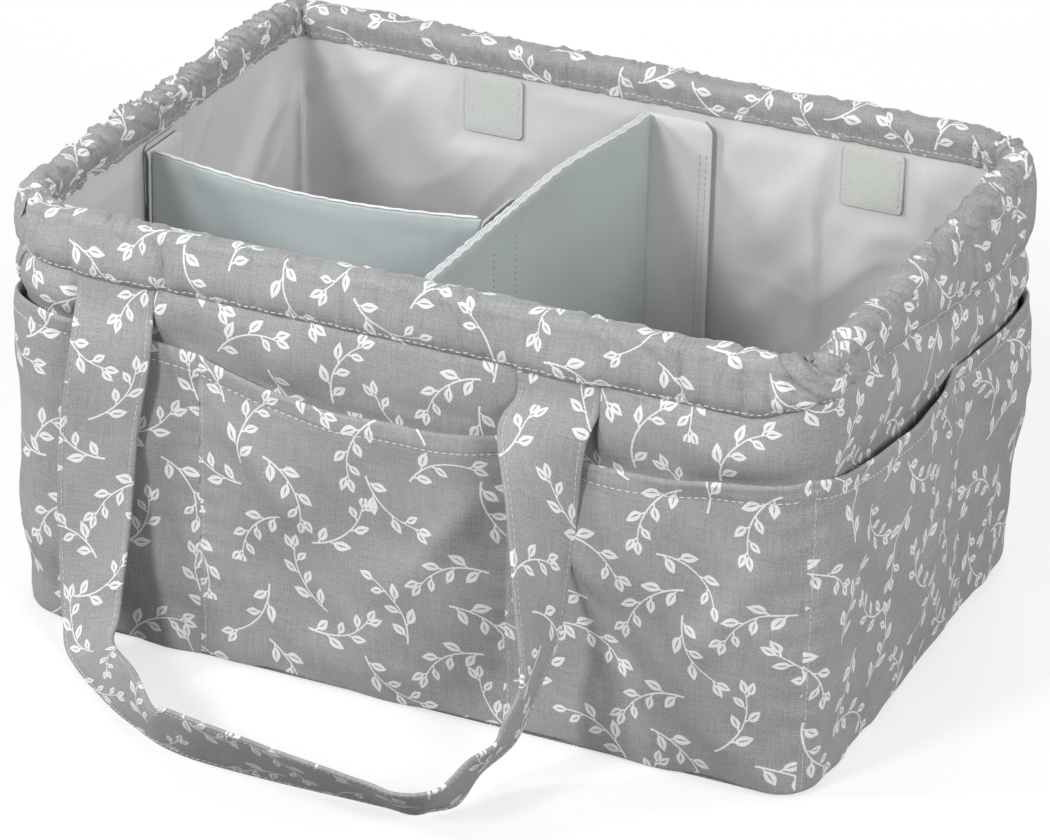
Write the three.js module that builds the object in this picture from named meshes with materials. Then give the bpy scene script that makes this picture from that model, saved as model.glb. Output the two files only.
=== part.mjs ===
// A soft-sided baby organizer: a padded fabric caddy with eight outside pockets, a gathered rim,
// two carrying straps and two lift-out dividers. Millimetres, +X along its length, -Y its front, +Z up.
// Its origin is the middle of the base on the surface that it stands on.
import * as THREE from 'three';

// Overall size over the rim, and the plan's corners
const bagLength = 380;
const bagWidth = 276;
const bagHeight = 192;
const seamCornerRadius = 14;
const softCornerRadius = 32;

// Layers of the wall and the floor, and the gap between pieces that touch
const sewnGap = 0.3;
const liningThickness = 1.2;
const boardThickness = 4;
const boardCornerRadius = 9;
const boardEndRoom = 1.5;
const baseBoardThickness = 3;
const coverThickness = 1.4;

// Rim cuff: a strip folded over the wall's top, gathered by the elastic inside it
const cuffThickness = 1.4;
const cuffDrop = 24;
const cuffSlope = 26;
const innerBandDrop = 16;
const rollStandOut = 5.2;
const rollRise = 6.8;
const gatherDepth = 1.1;
const gatherSteps = 4;
const shortSideGathers = 16;
const longSideGathers = 7;
const wallTopRoom = 14;
const elasticThickness = 1.2;
const elasticHeight = 7;
const elasticRoom = 0.5;

// Outside pockets
const pocketThickness = 1.5;
const pocketFoot = 0.8;
const hemHeight = 8;
const hemExtra = 0.5;
const mouthGape = 4.6;
const pocketSag = 2.2;
const pocketSteps = 10;
const frontSeamLeft = -88;
const frontSeamRight = 52;
const sideSeam = 35;

// How far a pocket's mouth lies below the cuff's seam: at each pocket seam, at the sewn corners, and in
// the middle of each pocket
const mouthDrop = {
  frontLeft: 27,
  frontRight: 32,
  corner: 25,
  side: 39,
  middle: 37,
  rightOfFront: 34,
  rightSide: 36,
  rightRear: 40,
  leftFront: 22,
};

// Carrying straps
const strapWidth = 36;
const strapThickness = 2;
const strapSpacing = 199;
const strapShift = -26.5;
const strapDrop = 3;
const strapReach = 104;
const strapSteps = 3;

// Hook-and-loop patches, tabs and dividers
const patchThickness = 1.4;
const patchSide = 30;
const patchCornerRadius = 2.5;
const patchDrop = 0.8;
const patchInset = 90;
const hookThickness = 1.2;
const hookSide = 24;
const hookDrop = 4;
const loopStripHeight = 66;
const tabThickness = 1.2;
const tabReach = 32;
const tabCornerRadius = 10;
const tabDrop = 1;
const dividerThickness = 3.6;
const dividerDrop = 18;
const dividerEdgeHeight = 2;
const mainDividerX = -7;
const mainDividerTurn = 9;
const turnStart = 35;
const crossDividerY = -20;
const crossDividerBow = 4;
const crossDividerSag = 4;
const dividerSteps = 10;
const turnSteps = 6;

// Longest step round a corner of the plan, and the least between two places along it
const cornerStep = 8;
const leastStep = 1;

const fabric = (color) => new THREE.MeshStandardMaterial({ color, roughness: 0.9, metalness: 0 });
const printedFabric = fabric(0x9a9a98);
const liningFabric = fabric(0xb9bab9);
const dividerFabric = fabric(0x9fa8aa);
const bindingFabric = fabric(0xeef0f0);
const fibreBoard = fabric(0x8d8576);
const elasticBand = fabric(0xe6e6e2);
const loopFabric = fabric(0xaab2ae);

const caddy = new THREE.Group();

function addPiece(name, geometry, material) {
  const mesh = new THREE.Mesh(geometry, material);
  mesh.name = name;
  caddy.add(mesh);
  return mesh;
}

// Offsets from the outer face of the wall boards, positive outwards
const liningOuter = -boardThickness - sewnGap;
const liningInner = liningOuter - liningThickness;
const patchFace = liningInner - sewnGap - patchThickness;
const hookFace = Math.min(patchFace, liningInner - sewnGap - cuffThickness) - sewnGap - hookThickness;
const tabFace = hookFace - sewnGap - tabThickness;
const dividerEnd = tabFace - sewnGap;
const coverInner = sewnGap;
const coverOuter = coverInner + coverThickness;
const outsideCover = coverOuter + sewnGap;
const cuffLegMiddle = outsideCover + cuffThickness / 2;
const rollOuter = outsideCover + rollStandOut;
const rollInner = liningInner - sewnGap - cuffThickness / 2;
const wallHalfX = bagLength / 2 - rollOuter - cuffThickness / 2 - gatherDepth;
const wallHalfY = bagWidth / 2 - rollOuter - cuffThickness / 2 - gatherDepth;

// Heights
const baseTop = coverThickness + sewnGap + baseBoardThickness;
const liningFloorBottom = baseTop + sewnGap;
const liningFloorTop = liningFloorBottom + liningThickness;
const wallTop = bagHeight - wallTopRoom;
const rollMiddle = bagHeight - gatherDepth - cuffThickness / 2 - rollRise;
const cuffSeam = bagHeight - cuffDrop;
const innerBandEdge = bagHeight - innerBandDrop;
const patchTop = innerBandEdge - patchDrop;
const strapTop = cuffSeam - strapDrop;

// The plan is a rounded rectangle, the outer face of the wall boards, walked anticlockwise from the
// middle of the front. Its second half is its first half turned half a turn, so the two sewn corners
// face each other across the bag, and so do the two soft ones.
const frontRun = wallHalfX - seamCornerRadius;
const seamArc = (Math.PI / 2) * seamCornerRadius;
const sideRun = 2 * wallHalfY - seamCornerRadius - softCornerRadius;
const softArc = (Math.PI / 2) * softCornerRadius;
const halfTurn = frontRun + seamArc + sideRun + softArc + wallHalfX - softCornerRadius;
const arcStarts = [frontRun, frontRun + seamArc + sideRun];
const arcEnds = [frontRun + seamArc, frontRun + seamArc + sideRun + softArc];

/** The plan's point at distance s, moved outwards by offset: [x, y]. */
function planPoint(s, offset) {
  const turns = Math.floor(s / halfTurn);
  const sign = turns % 2 === 0 ? 1 : -1;
  const along = s - turns * halfTurn;
  const arc = (centreX, centreY, radius, start, from) => {
    const angle = from + (along - start) / radius;
    return [centreX + (radius + offset) * Math.cos(angle), centreY + (radius + offset) * Math.sin(angle)];
  };
  let point;
  if (along <= arcStarts[0]) {
    point = [along, -wallHalfY - offset];
  } else if (along < arcEnds[0]) {
    point = arc(frontRun, seamCornerRadius - wallHalfY, seamCornerRadius, arcStarts[0], -Math.PI / 2);
  } else if (along <= arcStarts[1]) {
    point = [wallHalfX + offset, seamCornerRadius - wallHalfY + along - arcEnds[0]];
  } else if (along < arcEnds[1]) {
    const radius = softCornerRadius;
    point = arc(wallHalfX - radius, wallHalfY - radius, radius, arcStarts[1], 0);
  } else {
    point = [halfTurn - along, wallHalfY + offset];
  }
  return [sign * point[0], sign * point[1]];
}

// Places along the plan, from a coordinate on a side, and the four corners between the panels
const onFront = (x) => x;
const onRight = (y) => arcEnds[0] + y + wallHalfY - seamCornerRadius;
const onBack = (x) => halfTurn - x;
const onLeft = (y) => halfTurn + onRight(-y);
const seamCorner = (arcStarts[0] + arcEnds[0]) / 2;
const softCorner = (arcStarts[1] + arcEnds[1]) / 2;
const sides = {
  front: [softCorner - halfTurn, seamCorner],
  right: [seamCorner, softCorner],
  back: [softCorner, seamCorner + halfTurn],
  left: [seamCorner + halfTurn, softCorner + halfTurn],
};

/** Distances from one place on the plan to another, no further apart than pitch, finer in the corners. */
function stations(from, to, pitch) {
  const places = [from];
  for (let turns = -2; turns <= 3; turns++) {
    for (const mark of [...arcStarts, ...arcEnds]) {
      const place = mark + turns * halfTurn;
      if (place > from + leastStep && place < to - leastStep) places.push(place);
    }
  }
  places.push(to);
  places.sort((a, b) => a - b);
  const fine = [];
  for (let i = 0; i + 1 < places.length; i++) {
    const length = places[i + 1] - places[i];
    const middle = places[i] + length / 2;
    const along = middle - Math.floor(middle / halfTurn) * halfTurn;
    const inCorner = arcStarts.some((start, corner) => along > start && along < arcEnds[corner]);
    const steps = Math.ceil(length / (inCorner ? Math.min(pitch, cornerStep) : pitch));
    for (let k = 0; k < steps; k++) fine.push(places[i] + (length * k) / steps);
  }
  fine.push(to);
  return fine;
}

/**
 * A closed solid between two surfaces, each a function of (u, v) that gives [x, y, z], over a grid of
 * us and vs. A ring joins its last column to its first.
 */
function solidBetween(us, vs, outer, inner, ring = false) {
  const columns = us.length;
  const rows = vs.length;
  const positions = [];
  for (const surface of [outer, inner]) {
    for (const u of us) for (const v of vs) positions.push(...surface(u, v));
  }
  const at = (face, i, j) => (face * columns + (i % columns)) * rows + j;
  const index = [];
  const quad = (a, b, c, d) => index.push(a, b, c, a, c, d);
  for (let i = 0; i < (ring ? columns : columns - 1); i++) {
    for (let j = 0; j + 1 < rows; j++) {
      quad(at(0, i, j), at(0, i + 1, j), at(0, i + 1, j + 1), at(0, i, j + 1));
      quad(at(1, i, j), at(1, i, j + 1), at(1, i + 1, j + 1), at(1, i + 1, j));
    }
    quad(at(0, i, 0), at(1, i, 0), at(1, i + 1, 0), at(0, i + 1, 0));
    quad(at(0, i, rows - 1), at(0, i + 1, rows - 1), at(1, i + 1, rows - 1), at(1, i, rows - 1));
  }
  const last = columns - 1;
  for (let j = 0; j + 1 < rows && !ring; j++) {
    quad(at(0, 0, j), at(0, 0, j + 1), at(1, 0, j + 1), at(1, 0, j));
    quad(at(0, last, j), at(1, last, j), at(1, last, j + 1), at(0, last, j + 1));
  }
  const point = (i) => new THREE.Vector3().fromArray(positions, 3 * i);
  let volume = 0;
  for (let i = 0; i < index.length; i += 3) {
    volume += point(index[i]).dot(point(index[i + 1]).cross(point(index[i + 2])));
  }
  if (volume < 0) index.reverse();
  const geometry = new THREE.BufferGeometry();
  geometry.setAttribute('position', new THREE.Float32BufferAttribute(positions, 3));
  geometry.setIndex(index);
  geometry.computeVertexNormals();
  return geometry;
}

/** An upright layer of the wall that follows the plan. */
function wallLayer(from, to, low, high, inner, outer) {
  return solidBetween(
    stations(from, to, bagLength),
    [low, high],
    (s, z) => [...planPoint(s, outer), z],
    (s, z) => [...planPoint(s, inner), z],
  );
}

/** A flat layer of the floor, out to an offset from the plan. */
function floorLayer(offset, low, thickness) {
  const outline = stations(0, 2 * halfTurn, bagLength).slice(0, -1);
  const shape = new THREE.Shape(outline.map((s) => new THREE.Vector2(...planPoint(s, offset))));
  const geometry = new THREE.ExtrudeGeometry(shape, { depth: thickness, bevelEnabled: false });
  return geometry.translate(0, 0, low);
}

/** A flat plate, lower left corner at its origin. Its corners' radii run anticlockwise from there. */
function roundedPlate(width, height, thickness, radii) {
  const [lowLeft, lowRight, highRight, highLeft] = radii;
  const shape = new THREE.Shape();
  shape.moveTo(lowLeft, 0);
  shape.lineTo(width - lowRight, 0);
  if (lowRight) shape.absarc(width - lowRight, lowRight, lowRight, -Math.PI / 2, 0);
  shape.lineTo(width, height - highRight);
  if (highRight) shape.absarc(width - highRight, height - highRight, highRight, 0, Math.PI / 2);
  shape.lineTo(highLeft, height);
  if (highLeft) shape.absarc(highLeft, height - highLeft, highLeft, Math.PI / 2, Math.PI);
  shape.lineTo(0, lowLeft);
  if (lowLeft) shape.absarc(lowLeft, lowLeft, lowLeft, Math.PI, 1.5 * Math.PI);
  return new THREE.ExtrudeGeometry(shape, { depth: thickness, bevelEnabled: false, curveSegments: 3 });
}

// Each wall seen from inside: the direction to its right, and the place at a distance along it, an
// offset from its plan and a height. The main divider's left face serves as a wall for the cross divider.
const dividerFace = mainDividerX - dividerThickness / 2;
const walls = {
  back: { right: [1, 0, 0], place: (x, offset, z) => [x, wallHalfY + offset, z] },
  front: { right: [-1, 0, 0], place: (x, offset, z) => [x, -wallHalfY - offset, z] },
  left: { right: [0, 1, 0], place: (y, offset, z) => [-wallHalfX - offset, y, z] },
  right: { right: [0, -1, 0], place: (y, offset, z) => [wallHalfX + offset, y, z] },
  divider: { right: [0, -1, 0], place: (y, offset, z) => [dividerFace + offset, y, z] },
};

/**
 * A plate flat against a wall, from low to high along it, its back at an offset from the wall's plan and
 * its thickness towards the inside. Radii are of its corners: low foot, high foot, high head, low head.
 */
function wallPlate(name, side, [low, high], [foot, head], back, thickness, radii, material) {
  const { right, place } = walls[side];
  const rightwards = right[0] + right[1] > 0;
  const [lowFoot, highFoot, highHead, lowHead] = radii;
  const turned = rightwards ? radii : [highFoot, lowFoot, lowHead, highHead];
  const mesh = addPiece(name, roundedPlate(high - low, head - foot, thickness, turned), material);
  const across = new THREE.Vector3(...right);
  const up = new THREE.Vector3(0, 0, 1);
  const inwards = new THREE.Vector3().crossVectors(across, up);
  mesh.quaternion.setFromRotationMatrix(new THREE.Matrix4().makeBasis(across, up, inwards));
  mesh.position.set(...place(rightwards ? low : high, back, foot));
}

function panelsOfTheBag() {
  addPiece('cover_base', floorLayer(coverOuter, 0, coverThickness), printedFabric);
  addPiece('base_board', floorLayer(0, coverThickness + sewnGap, baseBoardThickness), fibreBoard);
  const liningFloor = floorLayer(liningOuter, liningFloorBottom, liningThickness);
  addPiece('lining_floor', liningFloor, liningFabric);
  for (const [side, ends] of Object.entries(sides)) {
    const from = ends[0] + sewnGap / 2;
    const to = ends[1] - sewnGap / 2;
    const cover = wallLayer(from, to, coverThickness + sewnGap, wallTop, coverInner, coverOuter);
    addPiece(`cover_${side}`, cover, printedFabric);
    const lining = wallLayer(from, to, liningFloorTop + sewnGap, wallTop, liningInner, liningOuter);
    addPiece(`lining_${side}`, lining, liningFabric);
  }
}

/** The flat boards in the walls end where the corners start to turn. */
function wallBoards() {
  const radii = [0, 0, boardCornerRadius, boardCornerRadius];
  const corners = {
    front: [softCornerRadius, seamCornerRadius],
    back: [seamCornerRadius, softCornerRadius],
    left: [softCornerRadius, seamCornerRadius],
    right: [seamCornerRadius, softCornerRadius],
  };
  for (const [side, [first, last]] of Object.entries(corners)) {
    const reach = side === 'front' || side === 'back' ? wallHalfX : wallHalfY;
    const span = [first + boardEndRoom - reach, reach - last - boardEndRoom];
    const heights = [liningFloorBottom, wallTop];
    wallPlate(`board_${side}`, side, span, heights, 0, boardThickness, radii, fibreBoard);
  }
}

const smooth = (t) => {
  const within = Math.min(Math.max(t, 0), 1);
  return within * within * (3 - 2 * within);
};

/**
 * Height of the cuff's lower edge: level along the long sides. It rises at a sewn corner by a third of
 * the slope. On the left it falls back by that third. On the right it falls by all of the slope, and
 * comes back up in the soft corner's second half.
 */
function cuffEdge(s) {
  const turns = Math.floor(s / halfTurn);
  const along = s - turns * halfTurn;
  const dip = turns % 2 === 0 ? 2 / 3 : 0;
  const lift = smooth((along - arcStarts[0] + seamCornerRadius) / (2 * seamCornerRadius));
  const fall = smooth((along - seamCorner) / (softCorner - seamCorner));
  const settle = smooth((along - softCorner) / (softArc / 2));
  return cuffSeam + cuffSlope * (lift / 3 - (1 / 3 + dip) * fall + dip * settle);
}

/** Middle of the strip: v is 0 to 1 up the outside, 1 to 2 over the roll, 2 to 3 down the inner band. */
function cuffMiddle(s, v) {
  if (v <= 1) {
    const edge = cuffEdge(s);
    return [cuffLegMiddle + (rollOuter - cuffLegMiddle) * smooth(v), edge + (rollMiddle - edge) * v];
  }
  if (v < 2) {
    const angle = (v - 1) * Math.PI;
    const reach = (rollOuter - rollInner) / 2;
    return [rollInner + reach * (1 + Math.cos(angle)), rollMiddle + rollRise * Math.sin(angle)];
  }
  return [rollInner, rollMiddle - (rollMiddle - innerBandEdge) * (v - 2)];
}

/** One side's length of the strip. Its gathers start at the stitches and are gone at the inner band. */
function cuffPiece(side, [from, to], gathers) {
  const crest = 1.5;
  const step = 0.01;
  const surface = (face) => (s, v) => {
    const before = cuffMiddle(s, Math.max(v - step, 0));
    const after = cuffMiddle(s, Math.min(v + step, 3));
    const run = Math.hypot(after[0] - before[0], after[1] - before[1]);
    const normal = [(after[1] - before[1]) / run, (before[0] - after[0]) / run];
    const wave = (1 + Math.cos((2 * Math.PI * gathers * (s - from)) / (to - from))) / 2;
    const fold = gatherDepth * wave * smooth(v) * (1 - smooth((v - crest) / (2 - crest)));
    const reach = (face * cuffThickness) / 2 + fold;
    const middle = cuffMiddle(s, v);
    return [...planPoint(s, middle[0] + normal[0] * reach), middle[1] + normal[1] * reach];
  };
  const columns = stations(from + sewnGap / 2, to - sewnGap / 2, (to - from) / gathers / gatherSteps);
  const rows = [0, 0.5, 1, 1.25, crest, 1.75, 2, 3];
  addPiece(`cuff_${side}`, solidBetween(columns, rows, surface(1), surface(-1)), printedFabric);
}

function rim() {
  for (const [side, span] of Object.entries(sides)) {
    const long = side === 'front' || side === 'back';
    cuffPiece(side, span, long ? longSideGathers : shortSideGathers);
  }
  const top = bagHeight - gatherDepth - cuffThickness - elasticRoom;
  const middle = (rollOuter + rollInner) / 2;
  const elastic = solidBetween(
    stations(0, 2 * halfTurn, bagLength).slice(0, -1),
    [top - elasticHeight, top],
    (s, z) => [...planPoint(s, middle + elasticThickness / 2), z],
    (s, z) => [...planPoint(s, middle - elasticThickness / 2), z],
    true,
  );
  addPiece('rim_elastic', elastic, elasticBand);
}

/**
 * A pocket between two seams. Drops are how far its mouth lies below the cuff's seam at its start,
 * middle and end, joined by a parabola. It stands out most at its mouth and not at all at its seams.
 * Up its height, v is 0 to 1 on the panel and 1 to 2 on the hem, which is a fold thicker.
 */
function pocket(name, from, to, drops) {
  const start = from + sewnGap / 2;
  const end = to - sewnGap / 2;
  const share = (s) => (s - start) / (end - start);
  const mouth = (s) => {
    const t = share(s);
    const [first, middle, last] = drops;
    const drop = first * (1 - t) * (1 - 2 * t) + 4 * middle * t * (1 - t) + last * t * (2 * t - 1);
    return cuffSeam - drop;
  };
  const height = (s, v) => {
    const hem = mouth(s) - hemHeight;
    return v <= 1 ? pocketFoot + (hem - pocketFoot) * v : hem + hemHeight * (v - 1);
  };
  const squareness = 4;
  const slackness = 1.2;
  const bulge = (s, v) => {
    const across = 1 - (2 * share(s) - 1) ** squareness;
    const up = (height(s, v) - pocketFoot) / (mouth(s) - pocketFoot);
    return across * (mouthGape * up ** slackness + pocketSag * Math.sin(Math.PI * up));
  };
  const inner = (s, v) => [...planPoint(s, outsideCover + bulge(s, v)), height(s, v)];
  const outer = (s, v) => {
    const thickness = pocketThickness + (v > 1 ? hemExtra : 0);
    return [...planPoint(s, outsideCover + bulge(s, v) + thickness), height(s, v)];
  };
  const columns = stations(start, end, (end - start) / pocketSteps);
  const rows = [0, 0.1, 0.35, 0.7, 1, 1.06, 2];
  addPiece(name, solidBetween(columns, rows, outer, inner), printedFabric);
}

/** Eight pockets: four anticlockwise from the front's left seam, and four half a turn further. */
function pockets() {
  const { frontLeft, frontRight, corner, side } = mouthDrop;
  const seams = [onFront(frontSeamLeft), onFront(frontSeamRight), seamCorner, onRight(sideSeam)];
  const drops = [frontLeft, frontRight, corner, side];
  const middles = [mouthDrop.middle, mouthDrop.rightOfFront, mouthDrop.rightSide];
  const names = [
    ['front_middle', 'front_right', 'right_side', 'right_rear'],
    ['back_middle', 'back_left', 'left_side', 'left_front'],
  ];
  const lastMiddles = [mouthDrop.rightRear, mouthDrop.leftFront];
  for (const turn of [0, 1]) {
    const starts = [...seams, seams[0] + halfTurn].map((seam) => seam + turn * halfTurn);
    [...middles, lastMiddles[turn]].forEach((middle, i) => {
      const ends = [drops[i], middle, drops[(i + 1) % drops.length]];
      pocket(`pocket_${names[turn][i]}`, starts[i], starts[i + 1], ends);
    });
  }
}

// The strap as it hangs, leg to leg: share of the spacing from its middle, distance out from the wall
// boards as a share of its reach, height of its lower edge as a share of the stitches' height, and the
// way its width points.
const strapStations = [
  [-0.5, 0.02885, 1, [1, 0, 0]],
  [-0.5, 0.04808, 0.94, [1, 0, 0]],
  [-0.51, 0.1298, 0.83, [1, 0, 0]],
  [-0.53, 0.1538, 0.59, [1, 0, 0.05]],
  [-0.545, 0.1827, 0.37, [1, 0, 0.1]],
  [-0.548, 0.2308, 0.19, [1, -0.05, 0.25]],
  [-0.533, 0.2837, 0.08, [1, -0.16, 0.39]],
  [-0.5, 0.3894, 0.016, [1, -0.3, 0.47]],
  [-0.364, 0.6683, 0.012, [1, -0.5, 0.73]],
  [-0.261, 0.8125, 0.012, [1, -0.83, 0.87]],
  [-0.158, 0.9231, 0.01, [0.64, -0.8, 1]],
  [-0.018, 0.9952, 0.01, [0.44, -0.81, 1]],
  [0.289, 1, 0.012, [0.56, -0.96, 1]],
  [0.405, 1, 0.012, [0.48, -1, 0.95]],
  [0.475, 0.9231, 0.01, [0.44, -0.96, 1]],
  [0.49, 0.7115, 0.01, [0.48, -0.74, 1]],
  [0.51, 0.5769, 0.047, [0.46, -0.79, 1]],
  [0.523, 0.4856, 0.116, [0.25, -0.75, 0.6]],
  [0.535, 0.4038, 0.228, [0.07, -1, 0.71]],
  [0.545, 0.3077, 0.39, [-0.61, -1, 0.54]],
  [0.53, 0.2019, 0.61, [-1, -0.69, 0.3]],
  [0.52, 0.1298, 0.83, [-1, -0.15, 0]],
  [0.5025, 0.04808, 0.94, [-1, 0, 0]],
  [0.5, 0.02885, 1, [-1, 0, 0]],
];

/**
 * A strap between its two edges, smooth curves through the stations, with its lower edge on the
 * height given there. Turn is 1 for the front strap and -1 for the back one, half a turn round.
 */
function strap(name, turn) {
  const edges = [-1, 1].map((edge) => {
    const points = strapStations.map(([share, out, height, direction]) => {
      const across = new THREE.Vector3(...direction).setLength(strapWidth / 2);
      const x = strapShift + share * strapSpacing;
      const middle = new THREE.Vector3(x, -wallHalfY - out * strapReach, height * strapTop);
      middle.z += Math.abs(across.z);
      return middle.addScaledVector(across, edge);
    });
    return new THREE.CatmullRomCurve3(points, false, 'catmullrom', 0.5);
  });
  const place = (u, v) => {
    const [first, second] = edges.map((edge) => edge.getPoint(u));
    return first.lerp(second, (v + 1) / 2);
  };
  const step = 0.002;
  const surface = (face) => (u, v) => {
    const along = place(Math.min(u + step, 1), v).sub(place(Math.max(u - step, 0), v));
    const across = place(u, 1).sub(place(u, -1));
    const normal = along.cross(across).setLength((face * strapThickness) / 2);
    const point = place(u, v).add(normal);
    return [turn * point.x, turn * point.y, point.z];
  };
  const steps = strapSteps * (strapStations.length - 1);
  const us = Array.from({ length: steps + 1 }, (_, i) => i / steps);
  addPiece(name, solidBetween(us, [-1, 1], surface(1), surface(-1)), printedFabric);
}

// Dividers: where their tabs lie along each wall, and their heights
const half = dividerThickness / 2;
const dividerFoot = liningFloorTop + sewnGap;
const dividerTop = bagHeight - dividerDrop;
const tabTop = dividerTop - tabDrop;
const hookTop = patchTop - hookDrop;
const mainDividerEnd = wallHalfY + dividerEnd;
const tabSpan = (face) => [face, face + tabReach];
const backTab = tabSpan(mainDividerX + mainDividerTurn - half);
const frontTab = tabSpan(mainDividerX - half);
const crossTab = tabSpan(crossDividerY - half);
const middleOf = ([low, high]) => (low + high) / 2;

/** Square loop patches where the tabs grip, and to both sides on the long walls, for moving the divider. */
function loopPatches() {
  const radii = Array(4).fill(patchCornerRadius);
  const addPatch = (name, side, middle) => {
    const span = [middle - patchSide / 2, middle + patchSide / 2];
    const heights = [patchTop - patchSide, patchTop];
    wallPlate(name, side, span, heights, liningInner - sewnGap, patchThickness, radii, loopFabric);
  };
  const spread = wallHalfX - patchInset;
  const along = { left: -spread, middle: 0, right: spread };
  for (const [place, shift] of Object.entries(along)) {
    addPatch(`loop_patch_back_${place}`, 'back', middleOf(backTab) + shift);
    addPatch(`loop_patch_front_${place}`, 'front', middleOf(frontTab) + shift);
  }
  addPatch('loop_patch_side', 'left', middleOf(crossTab));
}

// Section of a divider's bound edge, two ridges with a groove between: share of the half thickness
// across, and share of the edge's height.
const edgeSection = [[-1, 0.5], [-0.55, 1], [0, 0.55], [0.55, 1], [1, 0.5]];

/**
 * A panel along a path and, as a piece of its own, its bound top edge. Place(u, offset) gives the
 * plan's [x, y] at an offset from the middle of the thickness, and topAt(u) the height of the edge.
 */
function dividerPanel(name, us, place, topAt) {
  const edgeFoot = (u) => topAt(u) - dividerEdgeHeight;
  const rise = (u) => edgeFoot(u) - sewnGap - dividerFoot;
  const face = (offset) => (u, v) => [...place(u, offset), dividerFoot + rise(u) * v];
  addPiece(`${name}_panel`, solidBetween(us, [0, 1], face(half), face(-half)), dividerFabric);
  const top = (u, v) => {
    const [across, up] = edgeSection[v];
    return [...place(u, across * half), edgeFoot(u) + dividerEdgeHeight * up];
  };
  const bottom = (u, v) => [...place(u, edgeSection[v][0] * half), edgeFoot(u)];
  addPiece(`${name}_edge`, solidBetween(us, [0, 1, 2, 3, 4], top, bottom), bindingFabric);
}

/** A tab folded from a panel's end flat against a wall, and the hook strip sewn on its back. */
function dividerTab(name, side, span, hookBack) {
  const end = side === 'divider' ? 'inner' : side;
  const hookSpan = [middleOf(span) - hookSide / 2, middleOf(span) + hookSide / 2];
  const hookHeights = [hookTop - hookSide, hookTop];
  const hooks = [`${name}_hooks_${end}`, side, hookSpan, hookHeights, hookBack, hookThickness];
  wallPlate(...hooks, Array(4).fill(patchCornerRadius), loopFabric);
  const tabBack = hookBack - hookThickness - sewnGap;
  const tab = [`${name}_tab_${end}`, side, span, [dividerFoot, tabTop], tabBack, tabThickness];
  wallPlate(...tab, [0, 0, tabCornerRadius, 0], liningFabric);
}

/** The main divider runs from front to back, straight and then leaning towards the right wall. */
function mainDivider() {
  const turnRun = mainDividerEnd - turnStart;
  const middleAt = (y) => mainDividerX + mainDividerTurn * smooth((y - turnStart) / turnRun);
  const ys = [-mainDividerEnd];
  for (let i = 0; i <= turnSteps; i++) ys.push(turnStart + (turnRun * i) / turnSteps);
  dividerPanel('main_divider', ys, (y, offset) => [middleAt(y) + offset, y], () => dividerTop);
  dividerTab('main_divider', 'back', backTab, hookFace + hookThickness);
  dividerTab('main_divider', 'front', frontTab, hookFace + hookThickness);
  const stripSpan = [middleOf(crossTab) - patchSide / 2, middleOf(crossTab) + patchSide / 2];
  const stripHeights = [hookTop - loopStripHeight, hookTop];
  const strip = ['main_divider_loops', 'divider', stripSpan, stripHeights, -sewnGap, patchThickness];
  wallPlate(...strip, Array(4).fill(patchCornerRadius), loopFabric);
}

/** The cross divider runs from the left wall to the main divider, bowed forwards, its top edge sagging. */
function crossDivider() {
  const hookBack = -2 * sewnGap - patchThickness;
  const start = -wallHalfX - dividerEnd;
  const end = mainDividerX - half + hookBack - hookThickness - tabThickness - 2 * sewnGap;
  const bend = (x) => Math.sin((Math.PI * (x - start)) / (end - start));
  const xAt = (i) => start + ((end - start) * i) / dividerSteps;
  const xs = Array.from({ length: dividerSteps + 1 }, (_, i) => xAt(i));
  const place = (x, offset) => [x, crossDividerY - crossDividerBow * bend(x) + offset];
  const topAt = (x) => dividerTop - crossDividerSag * bend(x);
  dividerPanel('cross_divider', xs, place, topAt);
  dividerTab('cross_divider', 'left', crossTab, hookFace + hookThickness);
  dividerTab('cross_divider', 'divider', crossTab, hookBack);
}

panelsOfTheBag();
wallBoards();
rim();
pockets();
strap('handle_front', 1);
strap('handle_back', -1);
loopPatches();
mainDivider();
crossDivider();

export default caddy;
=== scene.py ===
"""The looks of a soft-sided nursery caddy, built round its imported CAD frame.

The bag is a printed cotton shell with a gathered rim, eight outside pockets, two carrying straps, a
nylon lining and two lift-out dividers. Every length is in metres, in the frame's own axes: +X along the
bag, -Y its front, +Z up, with the origin in the middle of the base.
"""

import logging
import math
from dataclasses import dataclass, field
from enum import Enum

import bpy
import numpy as np
from mathutils import Matrix, Vector

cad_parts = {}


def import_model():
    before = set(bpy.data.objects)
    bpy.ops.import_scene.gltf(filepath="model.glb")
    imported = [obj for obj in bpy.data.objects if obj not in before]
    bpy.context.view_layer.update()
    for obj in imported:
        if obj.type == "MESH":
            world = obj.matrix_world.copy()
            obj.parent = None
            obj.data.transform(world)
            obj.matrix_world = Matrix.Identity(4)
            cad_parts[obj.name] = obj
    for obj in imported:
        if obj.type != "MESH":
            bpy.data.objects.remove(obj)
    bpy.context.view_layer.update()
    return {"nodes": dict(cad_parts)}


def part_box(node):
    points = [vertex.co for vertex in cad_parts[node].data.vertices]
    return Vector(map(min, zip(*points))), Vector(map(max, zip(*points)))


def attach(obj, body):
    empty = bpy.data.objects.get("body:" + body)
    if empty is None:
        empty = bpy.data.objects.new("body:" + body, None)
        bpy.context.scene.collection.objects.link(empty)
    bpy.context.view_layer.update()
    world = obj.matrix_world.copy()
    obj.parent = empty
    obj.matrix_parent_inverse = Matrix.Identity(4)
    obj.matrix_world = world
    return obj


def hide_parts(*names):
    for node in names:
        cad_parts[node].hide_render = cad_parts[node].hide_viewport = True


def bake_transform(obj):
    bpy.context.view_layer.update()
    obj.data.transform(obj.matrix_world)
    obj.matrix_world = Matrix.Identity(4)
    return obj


Array = np.ndarray
MM = 0.001
CLOTH_MAP = "Cloth"
log = logging.getLogger("caddy")


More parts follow.
